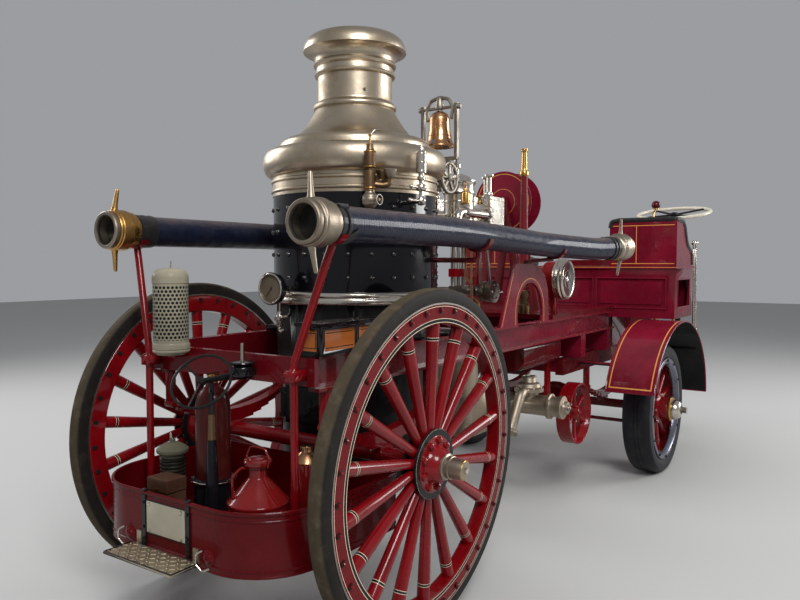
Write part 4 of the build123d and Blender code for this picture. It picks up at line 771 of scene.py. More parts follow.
def boiler_dome(piece):
    """Plated dome and open stack, and the ringed band below the jacket."""
    piece.base = BOILER
    inside = ((206, 0), (190, 2), (181, 12), (180, 40), (180, 399), (0, 399))
    piece.spin(dome_outline(), 160, "nickel")
    piece.spin([(r, STACK_TOP - down) for r, down in inside], 96, "iron")
    piece.spin([(446, 1475), (462, 1475), (466, 1478), (470, 1484), (470, 1497), (466, 1503), (464, 1509),
                (468, 1515), (470, 1522), (468, 1530), (462, 1536), (452, 1540), (446, 1540)], 128, "bright")
    piece.spin([(9, -1), (9, 3), (6, 6), (3, 14), (0, 14)], 14, "dull",
               turn(4.05) @ at(202, 0, 2588) @ OUTWARD)


def hoses(piece):
    """Two wound rubber hoses with the straps that bind their ends."""
    piece.pipe(HOSE_ROUTE, 74.6, 420, "hose", 40)
    for end, way in ((HOSE_START, Vector(FORWARD)), (HOSE_END, -HOSE_WAY)):
        for along, width in ((4, 26), (44, 22)):
            band = [(74, 0), (79.5, 1), (80.5, 4), (80.5, width - 4), (79.5, width - 1), (74, width)]
            piece.spin(band, 48, "strap", aimed(end + way * along, way))
        piece.box((74, 90), (-12, 12), (8, 66), 3, "strap", aimed(end, way, 2.2))
    flap = turned([(75, 0), (81, 2), (82, 60), (80, 96), (75, 100)], 48)
    bmesh.ops.bisect_plane(flap, geom=whole(flap), plane_co=(0, 30, 60), plane_no=(0.3, -1, 0.5),
                           clear_inner=True)
    piece.add(flap, "strap", aimed((-524, -620, 1840), FORWARD, 0.6))
    piece.both_sides()


def couplings(piece):
    """Couplings with a deep ringed mouth, a long barrel and two tapered lugs."""
    body = "dull" if "right" in piece.node else "brass"
    for mouth, way in ((Vector((-680, -620, 1840)), Vector(FORWARD)), (HOSE_END + HOSE_WAY * 150, -HOSE_WAY)):
        place = aimed(mouth, way)
        piece.spin([(70, 59), (70, 10), (72, 2), (76, 0), (84, 0), (88, 3), (90, 8), (90, 20), (86, 24),
                    (86, 28)], 64, "dull", place)
        piece.spin([(86, 26), (92, 28), (95, 32), (95, 38), (92, 41), (96, 44), (98, 48), (98, 96), (96, 101),
                    (93, 104), (92, 116), (89, 122), (89, 134), (84, 141), (79, 143), (79, 150), (74, 150)],
                   64, body, place)
        # a dark iron disc closes the bore: painted shade standing in for the deep open bore
        piece.spin([(70, 59), (0, 59)], 48, "iron", place)
        piece.spin([(70, 12), (67, 14), (67, 20), (70, 22)], 48, "iron", place)
        side = way.cross(UP).normalized() * 14
        for up in (-1, 1):
            root = mouth + way * 52 + Vector((0, 0, 84 * up))
            tip = mouth + way * 64 + Vector((0, 0, 199 * up)) - side * up
            piece.spin([(0, 0), (19, 0), (16, 14), (12.5, 34), (9.5, 90), (9, 106), (6, 114), (0, 116)], 16,
                       body, aimed(root, tip - root))


# Rear tub, its step and its stores


def tub(piece):
    """Sheet tub with a rolled rim, beads, black straps, a blank plate and its handles."""
    wall = [(0, 450), (3, 453), (3, 458), (0, 461), (0, 474), (3, 476), (4, 479), (3, 482), (0, 484),
            (0, 672), (3, 674), (3, 679), (1.5, 681), (1.5, 696), (3, 698), (6, 700), (7, 704), (7, 711),
            (4, 715), (-2, 715), (-6, 711), (-6, 450), (0, 450)]
    path = [(-530, 0, 0), ((-530, -280, 0), -pi / 2, 20), (0, 560, 0),
            ((-530, 280, 0), -pi / 2, 20), (530, 0, 0)]
    piece.add(carried([(0, -580 - out, z) for out, z in wall], path, UP), "tub")
    corner = [(-530 - 294 * sin(pi / 32 * i), -280 - 294 * cos(pi / 32 * i)) for i in range(17)]
    rim = [(-6, -574), *corner, *[(x, -y) for x, y in reversed(corner)], (-6, 574)]
    floor = bmesh.new()
    face = floor.faces.new([floor.verts.new((x, y, 450)) for x, y in rim])
    raised = bmesh.ops.extrude_face_region(floor, geom=[face])["geom"]
    bmesh.ops.translate(floor, vec=(0, 0, 6), verts=only(raised, bmesh.types.BMVert))
    piece.add(cleaned(floor), "tub")
    piece.box((-7, 0), (-579, 579), (450, 715), 1.5, "tub")
    for y in (-130, 150):
        across = (y - 12, y + 12)
        piece.box((-838, -829), across, (450, 699), 1.5, "black")
        piece.box((-829, -822), across, (560, 722), 1.5, "black")
        piece.box((-842, -820), across, (713, 721), 2, "black")
        piece.nuts("black", *[aimed((-838, y, z), BACK) for z in (486, 560, 664)])
    piece.box((-834, -830), (-118, 138), (535, 680), 1.2, "black")
    piece.box((-836, -833), (-112, 132), (541, 674), 1.2, "plate")
    piece.nuts("bright", *[aimed((-836, y, z), BACK) for y in (-92, 112) for z in (551, 664)])
    for y in (-250, 250):
        piece.spin([(34, 0), (34, 3), (30, 6), (22, 8), (20, 13), (12, 17), (0, 18)], 28, "tub",
                   aimed((-829, y, 510), BACK))
        piece.pipe([(-846, y + 22, 540), (-862, y + 40, 528), (-864, y + 42, 488), (-858, y + 10, 462),
                    (-846, y - 20, 476)], 4, 16, "bright")


def step(piece):
    """Bright chequered step plate in its angle frame, on two brackets."""
    piece.cad("black", ("tread", lambda x, y, z: z > 480))
    lugs = [at(27.5 * along - 974, 31 * across - 201, 485) @ turn(0.8 if (across + along) % 2 else -0.8)
            for across in range(14) for along in range(5)]
    piece.box((-11, 11), (-3, 3), (-1, 2.4), 1, "tread", *lugs)
    for x, y in (((-988, -852), (-214, -208)), ((-988, -852), (208, 214)), ((-989, -983), (-214, 214))):
        piece.box(x, y, (484, 489), 1, "black")


def cans(piece):
    """Red fuel can, extinguisher in its black holder, and the tall can with a copper top."""
    piece.base = at(-600, -295, 456)
    piece.spin([(0, 0), (121, 0), (126, 4), (128, 10), (127, 14), (127, 222), (130, 226), (131, 234),
                (128, 240), (120, 245), (42, 334), (40, 340), (40, 370), (44, 374), (44, 382), (56, 384),
                (60, 390), (60, 404), (56, 409), (40, 411), (36, 416), (10, 418), (0, 418)], 56, "can")
    piece.pipe([(0, -56, 380), (0, -67, 414), (0, -41, 458), (0, 41, 458), (0, 67, 414), (0, 56, 380)], 5, 40,
               "can")
    piece.pipe([(-38, 19, 376), (-68, 33, 380), (-100, 49, 344), (-98, 48, 256)], 6, 26, "can")
    piece.base = at(-562, 20, 456)
    piece.spin([(0, 0), (90, 0), (92, 4), (92, 30), (88, 34), (88, 252), (94, 256), (97, 262), (101, 266),
                (101, 272), (95, 276), (80, 278)], 48, "black")
    piece.ring(98, 4.5, "bright", at(0, 0, 268))
    piece.spin([(76, 270), (76, 590), (74, 616), (66, 642), (54, 662), (40, 676), (26, 684), (24, 700),
                (0, 702)], 48, "bottle")
    piece.spin([(20, 684), (24, 690), (24, 700), (18, 706), (18, 722), (26, 728), (26, 738), (0, 742)], 24,
               "brass")
    piece.box((-30, 34), (-6, 6), (734, 742), 2, "black")
    piece.pipe([(0, 0, 718), (-66, -66, 724), (-66, -66, 524)], 10, 30, "black")
    piece.bar((-66, -66, 574), (-70, -70, 454), 15, "bronze", 18)
    piece.bar((-70, -70, 464), (-86, -86, 140), 20, "black", 34)
    piece.base = at(-400, -388, 456)
    piece.spin([(0, 0), (60, 0), (62, 4), (62, 180), (64, 184), (64, 192), (62, 196), (62, 366), (60, 372)],
               40, "can")
    piece.spin([(62, 366), (63, 372), (56, 386), (36, 408), (27, 414), (27, 432), (24, 438), (0, 440)], 40,
               "copper")


def lantern_and_box(piece):
    """Ribbed lantern under its pale vented lid, and the brown tin box in front of it."""
    ribs = [(r, z + up) for z in range(68, 320, 17) for r, up in ((54, 0), (57, 4), (57, 9), (54, 13))]
    piece.base = at(-592, 262, 456)
    piece.spin([(0, 0), (64, 0), (66, 3), (66, 58), (60, 64), *ribs, (54, 322), (60, 326), (60, 334),
                (52, 338)], 36, "lantern")
    piece.spin([(52, 336), (52, 350), (70, 358), (73, 364), (72, 374), (62, 384), (40, 397), (14, 404),
                (13, 420), (0, 423)], 40, "green")
    piece.pipe([(0, 12, 412), (0, 14, 444), (-8, 0, 450), (-14, -12, 432), (-8, -16, 418)], 3, 14, "bright")
    piece.base = at(0, 0, 0)
    piece.box((-775, -672), (72, 205), (456, 690), 4, "tin")
    piece.box((-777, -670), (70, 207), (694, 752), 5, "tin")
    piece.box((-779, -775), (126, 150), (676, 712), 1.5, "brass")


def strainer(piece):
    """Grey strainer drum: plain bands and shoulder, the sheet between them pierced."""
    piece.spin([(0, 0), (64, 0), (66, 8), (78, 10), (82, 14), (83, 20), (80, 24), (83, 28), (83, 46),
                (80, 52), (78, 56), (78, 322), (81, 325), (81, 349), (79, 360), (72, 375), (58, 386),
                (40, 391), (0, 394)], 72, "holes", at(-600, 250, 1268))
    piece.box((-600, -509), (225, 275), (1253, 1269), 2, "red")
    piece.bar((-600, 250, 1653), (-596, 250, 1692), 3, "bright")


def hand_wheel(piece):
    """Thin iron brake wheel and the glossy oil cup."""
    piece.base = aimed((-720, -90, 1190), (-0.7, -0.3, 0.64))
    piece.ring(128, 6, "iron", steps=72)
    piece.add(rod(5, 128, 4.5, 12), "iron", *[turn(2.1 * i + 0.35) @ OUTWARD for i in range(3)])
    piece.spin([(0, -14), (17, -14), (17, 8), (11, 14), (0, 15)], 20, "iron")
    piece.base = at(-572, -180, 1190)
    piece.bar((-153, 90, 0), (63, 90, 0), 12, "iron")
    piece.bar((12, 90, 0), (63, 90, 0), 21, "red")
    piece.spin([(0, 0), (28, 0), (40, 6), (48, 18), (48, 44), (44, 52), (36, 60), (54, 64), (57, 68),
                (55, 73), (20, 76), (0, 77)], 36, "black")
    piece.spin([(10, 75), (8, 150), (5, 152), (0, 152)], 14, "bright")
    piece.box((22, 63), (-20, 20), (10, 40), 3, "black")


def tool_chest(piece):
    """Black box with orange panels inside black frames, brass corners and a lock."""
    def panel(x, y, z):
        return 1312 < z < 1413 and (abs(x + 484) < 2 or (abs(y + 541) < 2 and x > -470))
    piece.cad("black", ("panel", panel))
    for z in (1330, 1392):
        for x in (-452, -221):
            piece.box((x, x + 183), (-542.5, -540), (z, z + 3), 0.6, "black")
        piece.box((-485, -482.5), (-516, -448), (z, z + 3), 0.6, "black")
    for y in (-516, -451):
        piece.box((-485, -482.5), (y, y + 3), (1330, 1395), 0.6, "black")
    piece.box((-504, -494), (-498, -466), (1396, 1432), 2, "brass")


# Boiler fittings, engine and pump


def fittings(piece):
    """Gauge with its dial, bronze whistle valve, plated oiler and the bell's grey yoke."""
    def whistle(x, y, z):
        return x < 230 and y < -220 and z > 1900

    def gauge(y, z, r):
        return (y - 100) ** 2 + (z - 1556) ** 2 < r ** 2
    piece.cad("bright", ("dial", lambda x, y, z: -111 < x < -105 and gauge(y, z, 71)),
              ("black", lambda x, y, z: x < -60 and gauge(y, z, 84)),
              ("dull", lambda x, y, z: whistle(x, y, z) and z < 2026), ("bronze", whistle),
              ("grey", lambda x, y, z: x > 760))
    piece.base = aimed((-108, 100, 1556), BACK)
    piece.ring(74, 5, "bright", at(0, 0, 6))
    piece.box((-6, 4), (-0.9, 0.9), (0, 0.8), 0, "black", *around(28, 60))
    piece.box((-52, 14), (-1.6, 1.6), (1, 2.4), 0.4, "black", turn(0.9))
    piece.add(ball(7, 0.6), "black")
    piece.base = at(74, -380, 1985)
    piece.add(ball(40, 0.95, 28), "dull")
    piece.spin([(27, 56), (27.5, 100), (27.5, 138), (24, 142)], 32, "bronze")
    piece.ring(27, 3, "brass", at(0, 0, 58), at(0, 0, 158), at(0, 0, 230))
    piece.spin([(5, 262), (5, 300), (9, 304), (9, 312), (0, 316)], 16, "brass")
    piece.pipe([(0, 0, 305), (18, -14, 335), (46, -30, 337)], 4, 16, "steel")
    piece.pipe([(10, -12, 77), (38, -46, 71), (56, -70, 77), (60, -76, 111)], 14, 22, "bronze")
    piece.spin([(0, 0), (16, 0), (20, 12), (31, 30), (33, 44), (30, 46), (26, 34), (0, 20)], 28, "dull",
               at(60, -76, 103))
    piece.ring(24, 4, "steel", aimed((0, -54, 0), RIGHT), steps=32)
    piece.bar((0, 0, 0), (0, -56, 0), 8, "bronze")
    piece.spin([(20, 0), (23, 3), (20, 6)], 6, "brass", at(0, 0, 47), at(0, 0, 65))
    piece.base = at(0, 0, 0)
    piece.pipe([(-50, 100, 1372), (-50, 100, 1352), (-58, 84, 1338), (-70, 60, 1350)], 7, 12, "bright")
    piece.bar((-50, 38, 1416), (-50, 20, 1440), 9, "black", 7)
    piece.ring(26, 2.5, "bright", *[at(302, -524, z) for z in (2136, 2178, 2220)])
    piece.add(ball(11), "bright", at(216, -514, 1990), at(226, -516, 2056))
    piece.spin([(0, -16), (13, -12), (17, 0), (13, 12), (0, 16)], 18, "grey",
               *[aimed((1010, y, 2600), LEFT) for y in (-332, -68)])
    piece.spin([(0, 0), (22, 2), (48, 20), (52, 40), (48, 52), (30, 58), (0, 60)], 36, "bright",
               at(1010, -200, 2228))
    piece.bar((1010, -320, 2309), (1010, -320, 2250), 7, "grey")


def cylinders(piece):
    """Plated steam cylinders with nutted lids, valve chests with bolt rows, throttle and exhaust bend."""
    piece.cad("bright", ("grey", lambda x, y, z: y < -262 and x < 1080 and z > 2090))
    bolts = [(x, z) for x in (1500, 1545, 1615, 1660) for z in (1890, 2096)]
    bolts += [(x, z) for x in (1497, 1663) for z in (1940, 1992, 2044)]
    for y in (-200, 200):
        piece.flange((1240, y, 2192), UP, 95, 10, "bright", 1.2)
        piece.flange((1240, y, 1878), UP, 99, 10, "bright")
        piece.ring(97, 4, "bright", at(1240, y, 1938), at(1240, y, 2064))
        piece.nuts("bright", *[aimed((x, y - 95, z), RIGHT) for x, z in bolts])
        piece.box((1520, 1640), (y - 98, y - 94), (1915, 2070), 6, "bright")
    for x, way in ((1093, FORWARD), (1355, BACK)):
        piece.flange((x, -330, 1985), way, 29, 6, "bright", 0.8)
    piece.spin([(0, 0), (22, 0), (24, 8), (24, 64), (14, 72), (10, 96), (0, 98)], 24, "brass",
               at(1150, -300, 2040))
    piece.spin([(0, 0), (16, 0), (20, 10), (12, 20), (12, 40), (26, 46), (26, 54), (0, 58)], 24, "brass",
               at(1330, -300, 2050))
    piece.ring(30, 4, "grey", aimed((1330, -330, 2075), (0, -1, 0.2)), steps=32)
    piece.bar((1330, -300, 2075), (1330, -336, 2077), 5, "grey")
    piece.pipe([(1150, -300, 2120), (1150, -300, 2170), (1210, -280, 2180), (1240, -240, 2180)], 6, 30,
               "copper")
    piece.base = aimed((985, -280, 2185), RIGHT)
    piece.ring(86, 12, "grey")
    piece.spin([(0, -14), (24, -14), (24, 12), (12, 18), (0, 19)], 24, "grey")
    piece.box((12, 84), (-10, 10), (-7, 7), 4, "grey", *[turn(radians(72 * i + 12)) for i in range(5)])


def engine(piece):
    """Bright rods and columns, crossheads, crank with its eccentrics, and the small feed pipes."""
    piece.cad("steel", ("red", lambda x, y, z: abs(y) < 300 and (1590 < z < 1660 or 1395 < z < 1445)))
    for side in (-1, 1):
        piece.flange((1302, side * 428, 1510), (0, side, 0), 44, 6, "bright")
        piece.bar((1302, side * 396, 1530), (1250, side * 396, 1760), 9, "steel")
        piece.bar((1340, side * 350, 1512), (1480, side * 350, 1556), 10, "steel", 8)
        piece.bar((1330, side * 372, 1486), (1500, side * 372, 1500), 8, "steel")
        piece.spin([(24, 0), (24, 14), (16, 18)], 6, "steel",
                   *[at(x, side * 200, z) for x in (1175, 1305) for z in (1836, 1150)])
    piece.pipe([(1150, -300, 1840), (1150, -300, 1600), (1120, -360, 1560), (1120, -360, 1400)], 8, 40,
               "copper")
    piece.pipe([(1190, -320, 1840), (1190, -320, 1480), (1180, -380, 1440), (1180, -380, 1330)], 7, 40,
               "brass")
    piece.spin([(0, 0), (22, 0), (22, 50), (14, 56), (14, 84), (0, 86)], 20, "brass", at(1120, -360, 1330))
    piece.spin([(0, 0), (14, 0), (18, 20), (18, 90), (10, 100), (0, 102)], 20, "brass", at(1180, -380, 1300))


def inlet(piece):
    """Cream suction inlet with nutted flanges, a round knob on its cap and a ring on its valve."""
    piece.cad("cream")
    piece.flange((1800, -594, 735), RIGHT, 75, 8, "steel")
    piece.flange((1800, -430, 847), UP, 88, 8, "steel")
    piece.flange((1510, -430, 590), (0.56, 0, 0.82), 43, 6, "steel", 0.9)
    piece.ring(70, 4, "cream", aimed((1800, -664, 735), RIGHT))
    piece.add(ball(20), "grey", at(1800, -708, 735))
    piece.ring(46, 5, "grey", at(1800, -430, 921), steps=40)


# Deck, tractor and driver's place


def lamp(piece):
    """Round lamp with a bright rim and a ringed glass."""
    piece.cad("red", ("glass", lambda x, y, z: y < -545 and (x - 2142) ** 2 + (z - 1572) ** 2 < 118 ** 2),
              ("bright", lambda x, y, z: y < -492))
    piece.base = aimed((2130, -370, 1572), (0.06, -0.998, 0))
    piece.spin([(0, 191), (10, 191), (14, 194), (20, 190)], 24, "bright")
    piece.ring(60, 3, "bright", at(0, 0, 191))


def play_pipe(piece):
    piece.cad("pipe", ("brass", lambda x, y, z: z > 2285), ("bronze", lambda x, y, z: z < 1500))
    piece.ring(34, 4, "bronze", at(2000, -290, 1520), at(2000, -290, 1560))


def reel(piece):
    """Reel with gold rings on its flanges and canvas hose between them."""
    piece.cad("window_lit_red", ("iron", lambda x, y, z: x > 2434))
    piece.base = aimed((2340, 0, 2140), FORWARD)
    for low, high, steps in ((206, 212, 96), (96, 100, 64)):
        piece.spin([(low, 0), (high, 0), (high, 0.8), (low, 0.8), (low, 0)], steps, "gold",
                   at(0, 0, -90.4), at(0, 0, 90.4))
    piece.spin([(92, -74), (150, -72), (156, -60), (156, 60), (150, 72), (92, 74)], 64, "canvas")


def fenders(piece):
    """Front fenders, each part of an ellipse, with beaded edges and black undersides."""
    middle_x, middle_z, half_length, half_height = 3390, 515, 861, 701
    outer, inner = -1047, -693

    def under(x, y, z):
        return ((x - middle_x) / half_length) ** 2 + ((z - middle_z) / half_height) ** 2 < 1.0
    angles = [radians(161.5 - 160.2 * i / 26) for i in range(27)]
    edge = [(middle_x + half_length * cos(angle), middle_z + half_height * sin(angle)) for angle in angles]
    for y in (outer, inner):
        piece.pipe([(x, y, z) for x, z in edge], 6.5, 1, "window_lit_red", 12)
    for x, z in (edge[0], edge[-1]):
        piece.pipe([(x, outer, z), (x, inner, z)], 6, 1, "window_lit_red", 12)
    piece.both_sides()
    piece.cad("fender", ("iron", under))


def seat_backs(piece):
    """Lined seat backs with a rolled leather edge."""
    piece.pipe([(3428, -434, 1980), (3428, -446, 2028), (3428, -500, 2040), (3428, -900, 2040),
                (3432, -965, 2038), (3550, -968, 2038), (3618, -968, 2026), (3674, -968, 1986),
                (3712, -968, 1914), (3746, -968, 1860), (3792, -968, 1826), (3850, -968, 1805),
                (3900, -968, 1786), (3926, -968, 1752), (3930, -968, 1672)], 25, 20, "leather")
    piece.both_sides()
    piece.cad("seat")


def tractor_body(piece):
    """Seat box with lined, recessed panels framed by mouldings."""
    piece.cad("box")
    for y in (-900, -290, 320):
        for z in (1310, 1560):
            piece.box((3403, 3420), (y - 6, y + 586), (z - 6, z + 6), 4, "window_lit_red")
        for edge in (y, y + 580):
            piece.box((3403, 3420), (edge - 6, edge + 6), (1310, 1560), 4, "window_lit_red")
        piece.box((3412, 3421), (y + 34, y + 546), (1342, 1528), 4, "window_lit_red")
    for y in (-970, 970):
        for x in (3499, 3901):
            piece.box((x - 5, x + 5), (y - 4, y + 4), (1316, 1554), 3, "window_lit_red")
        for z in (1319, 1551):
            piece.box((3496, 3904), (y - 4, y + 4), (z - 5, z + 5), 3, "window_lit_red")


def hood(piece):
    """Hood with rows of louvres, hinge and catches."""
    piece.box((-6, 6), (0, 9), (-95, 95), 3, "window_lit_red",
              *[at(4640 + 38 * i, -366, 1230) @ turn(0.35) for i in range(11)])
    for x in (4640, 4980):
        piece.box((x, x + 28), (-370, -358), (1050, 1066), 2, "brass")
    piece.bar((4560, -352, 1424), (5078, -352, 1424), 6, "brass")
    piece.both_sides()
    piece.cad("window_lit_red")
    piece.bar((4560, 0, 1561), (5078, 0, 1561), 5, "brass")


def radiator(piece):
    piece.cad("brass", ("core", lambda x, y, z: 5169 < x < 5172))
    piece.spin([(38, 0), (44, 4), (44, 14), (36, 22), (16, 26), (14, 36), (0, 38)], 24, "brass",
               at(5135, 0, 1588))
    piece.box((5168, 5176), (-2, 2), (1010, 1500), 1, "brass", *[at(0, y, 0) for y in range(-280, 281, 80)])


def headlamps(piece):
    def lens(x, y, z):
        return x > 5096 and (abs(y) - 560) ** 2 + (z - 1440) ** 2 < 101 ** 2
    piece.cad("brass", ("glass", lens))
    for y in (-560, 560):
        piece.ring(108, 5, "brass", aimed((5096, y, 1440), FORWARD))
        piece.spin([(20, 0), (24, 8), (16, 18), (0, 20)], 20, "brass", at(5000, y, 1540))


def controls(piece):
    """Column, bright levers with knobs, and the horn with its bulb."""
    piece.cad("iron", ("bright", lambda x, y, z: y < -895))
    for x in (4282, 4366):
        piece.pipe([(x, -914, 1700), (x - 30, -914, 1730), (x - 26, -914, 1810)], 4, 20, "bright", 12)
    piece.pipe([(3440, -780, 2036), (3446, -780, 2090), (3500, -780, 2120), (3520, -780, 2140)], 8, 30,
               "brass")
    piece.add(ball(36, 1.0, 28), "deep", at(3520, -780, 2168))
    piece.ring(20, 5, "brass", at(3520, -780, 2138), steps=32)


def steering(piece):
    """Pale wooden rim on black spokes."""
    piece.cad("iron", ("wood", lambda x, y, z: (x - 4100) ** 2 + (y + 780) ** 2 > 270 ** 2))


def bell(piece):
    """Copper bell under its grey arched yoke."""
    piece.cad("copper", ("grey", lambda x, y, z: z > 2584 or z < 2410 and abs(y + 200) < 20))
    piece.base = at(1010, -200, 0)
    piece.pipe([(0, -82, 2530), (0, -90, 2600), (0, -62, 2648), (0, 0, 2664), (0, 62, 2648), (0, 90, 2600),
                (0, 82, 2530)], 11, 60, "grey")
    piece.spin([(0, 2590), (24, 2594), (28, 2610), (22, 2640), (14, 2664), (0, 2666)], 20, "grey")
    piece.ring(91, 3, "copper", at(0, 0, 2378))
    piece.ring(70, 2, "copper", at(0, 0, 2436))


PIECES = (
    (rear_wheel, "rear_wheel_right_wood", "rear_wheel_right"),
    (rear_wheel, "rear_wheel_left_wood", "rear_wheel_left"),
    (rear_tyre, "rear_tyre_right_rubber", "rear_tyre_right"),
    (rear_tyre, "rear_tyre_left_rubber", "rear_tyre_left"),
    (front_wheel, "front_wheel_right_wood", "front_wheel_right"),
    (front_wheel, "front_wheel_left_wood", "front_wheel_left"),
    (front_tyre, "front_tyre_right_rubber", "front_tyre_right"),
    (front_tyre, "front_tyre_left_rubber", "front_tyre_left"),
    (boiler_jacket, "jacket_shell", "boiler_jacket"),
    (boiler_dome, "dome_plate", "boiler_dome"),
    (hoses, "wound_hoses", "suction_hoses"),
    (couplings, "right_couplings", "couplings_right"),
    (couplings, "left_couplings", "couplings_left"),
    (tub, "rear_tub_sheet", "rear_tub"),
    (step, "step_plate", "rear_step"),
    (cans, "tub_cans_paint", "tub_cans"),
    (lantern_and_box, "lantern_tin", "lantern_and_box"),
    (strainer, "strainer_drum", "strainer"),
    (hand_wheel, "brake_wheel_iron", "brake_wheel"),
    (tool_chest, "tool_box_panels", "tool_box"),
    (fittings, "boiler_fittings_metal", "boiler_fittings"),
    (cylinders, "steam_cylinders_plate", "steam_cylinders"),
    (engine, "engine_frame_steel", "engine_frame"),
    (inlet, "suction_inlet_iron", "suction_inlet"),
    (lamp, "side_lamp", "lamp"),
    (play_pipe, "play_pipe_wound", "play_pipe"),
    (reel, "hose_reel_disc", "hose_reel"),
    (fenders, "fender_sheet", "fenders"),
    (seat_backs, "seat_back_panels", "seat_backs"),
    (tractor_body, "seat_box_panels", "tractor_body"),
    (hood, "hood_sheet", "hood"),
    (radiator, "radiator_shell", "radiator"),
    (headlamps, "headlamp_drums", "headlamps"),
    (controls, "driver_controls_metal", "driver_controls"),
    (steering, "steering_wheel_rim", "steering_wheel"),
    (bell, "bell_metal", "bell"),
)
for build, name, node in PIECES:
    piece = Piece(name, node)
    build(piece)
    if node.endswith("left"):
        piece.mirrored()
    piece.done(30 if build in (fittings, cylinders, engine) else 34)


# Seat cushions

PAD_SWELL = 30      # the most that a point of a seat pad may rise
PAD_CHANNEL = 83    # width between the sewn channels


def evaluated(holder):
    """The object's mesh with its modifiers applied."""
    return bpy.data.meshes.new_from_object(holder.evaluated_get(bpy.context.evaluated_depsgraph_get()))


def swollen_pad():
    """Seat pad, stuffed by cloth pressure above its seated underside; returns it before and after."""
    shape = block((-248, 248), (-242, 242), (-38, 38), 18)
    bmesh.ops.scale(shape, vec=(0.001, 0.001, 0.001), verts=shape.verts)
    mesh = bpy.data.meshes.new("pad")
    shape.to_mesh(mesh)
    shape.free()
    holder = bpy.data.objects.new("pad", mesh)
    bpy.context.scene.collection.objects.link(holder)
    holder.modifiers.new("even_mesh", "REMESH").voxel_size = 0.005
    flat = evaluated(holder)
    holder.modifiers.clear()
    holder.data = flat
    seated = holder.vertex_groups.new(name="seated")
    seated.add([vert.index for vert in flat.vertices if vert.co.z < -0.030], 1.0, "REPLACE")
    cloth = holder.modifiers.new("cloth", "CLOTH").settings
    cloth.use_pressure = True
    cloth.uniform_pressure_force = 4
    cloth.effector_weights.gravity = 0
    cloth.vertex_group_mass = "seated"
    for frame_number in range(1, 21):
        bpy.context.scene.frame_set(frame_number)
    swollen = evaluated(holder)
    bpy.context.scene.frame_set(1)
    bpy.data.objects.remove(holder)
    return flat, swollen


def seat_pad():
    """The swollen pad with its rise eased off, and channels sewn over its top and down its front."""
    flat, swollen = swollen_pad()
    pad = bmesh.new()
    pad.from_mesh(flat)
    bmesh.ops.scale(pad, vec=(1000, 1000, 1000), verts=pad.verts)
    for vert, after in zip(pad.verts, swollen.vertices):
        rise = after.co * 1000 - vert.co
        if rise.length > 0.01:
            vert.co += rise.normalized() * PAD_SWELL * (1 - exp(-rise.length / PAD_SWELL))
    bmesh.ops.smooth_vert(pad, verts=pad.verts, factor=0.5, use_axis_x=True, use_axis_y=True, use_axis_z=True)
    pad.normal_update()
    sewn = []
    for vert in pad.verts:
        groove = 1 - abs(sin(pi * (vert.co.y / PAD_CHANNEL + 0.5))) ** 0.5
        inside = max(0.0, 1 - (vert.co.x / 246) ** 12) if vert.normal.z > vert.normal.x else 1.0
        facing = max(0.0, vert.normal.z, vert.normal.x) * (vert.co.z > -24)
        sewn.append(vert.normal * (16 * groove * facing * inside))
    for vert, depth in zip(pad.verts, sewn):
        vert.co -= depth
    return pad


def cushion(name, side, pad):
    """Leather seat with piping round its top edge."""
    piece = Piece(name, "seat_cushions")
    piece.add(pad, "leather", at(3715, side * 690, 1700))
    rim = ((3467, 449), (3962, 449), (3962, 931), (3467, 931))
    return piece.pipe([(x, side * y, 1731) for x, y in rim], 6, 30, "leather", 12, closed=True)


pad = seat_pad()
for side, name in ((-1, "seat_leather_right"), (1, "seat_leather_left")):
    cushion(name, side, pad.copy()).done()
pad.free()

# Construction pieces carried over with smooth edges

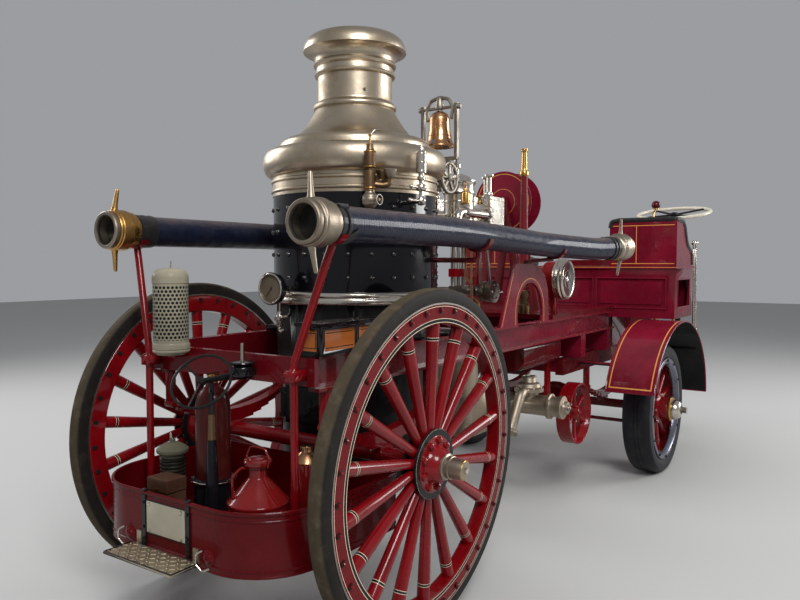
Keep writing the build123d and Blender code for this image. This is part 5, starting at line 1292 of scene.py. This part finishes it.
SLOT_PAINT = {
    "red_wood": "red", "red_paint": "red", "dark_red": "deep", "rubber_grey": "rubber",
    "rubber_black": "tyre", "nickel": "nickel", "brass": "brass", "black_iron": "iron",
    "grey_iron": "grey", "cream_iron": "cream", "jacket_black": "black", "hose_black": "tyre",
    "bright_plate": "bright", "leather": "leather", "wood_cream": "wood", "black_box": "black",
    "stores_green": "green",
}
OWN_PAINT = {"frame_rails": "rails", "rear_axle": "red", "springs": "red", "cross_members": "rails"}

for node, slot in NODE_SLOT.items():
    if node not in DRESSED:
        Piece(node + "_finish", node).cad(OWN_PAINT.get(node, SLOT_PAINT[slot])).done()


# Floor, light and camera


def stage():
    """Plain pale floor and soft studio light."""
    bpy.ops.mesh.primitive_plane_add(size=60, location=(0, 0, 0))
    floor = bpy.context.object
    finish = Finish("studio_floor", 0.7)
    finish.colour((0.44, 0.44, 0.43, 1))
    floor.data.materials.append(finish.material)
    world = bpy.data.worlds.new("studio")
    world.use_nodes = True
    bpy.context.scene.world = world
    background = world.node_tree.nodes["Background"].inputs
    background["Color"].default_value = (0.78, 0.80, 0.84, 1)
    background["Strength"].default_value = 0.42
    for name, where, size, power in (
            ("key", (-6.0, -5.0, 7.0), 3.0, 520),
            ("window", (6.5, -7.0, 4.0), 4.0, 560),
            ("top", (0.0, 1.0, 8.0), 8.0, 380),
            ("back", (-2.0, 8.0, 5.0), 4.0, 280)):
        light = bpy.data.lights.new(name, "AREA")
        light.size = size
        light.energy = power
        holder = bpy.data.objects.new(name, light)
        holder.location = where
        holder.rotation_euler = (Vector(UP) - Vector(where)).to_track_quat("-Z", "Y").to_euler()
        holder.visible_glossy = name != "top"
        bpy.context.scene.collection.objects.link(holder)


def camera():
    """The photograph's viewpoint, behind the right rear wheel."""
    yaw, pitch = radians(34.3), radians(-2.8)
    view = bpy.data.cameras.new("camera")
    view.sensor_width = 36
    view.lens = 740 / 800 * 36
    holder = bpy.data.objects.new("camera", view)
    holder.location = (-2.79 + AXLE, -2.507, 1.68)
    way = Vector((cos(pitch) * cos(yaw), cos(pitch) * sin(yaw), sin(pitch)))
    holder.rotation_euler = way.to_track_quat("-Z", "Y").to_euler()
    bpy.context.scene.collection.objects.link(holder)
    bpy.context.scene.camera = holder


stage()
camera()
bpy.context.scene.view_settings.view_transform = "Standard"
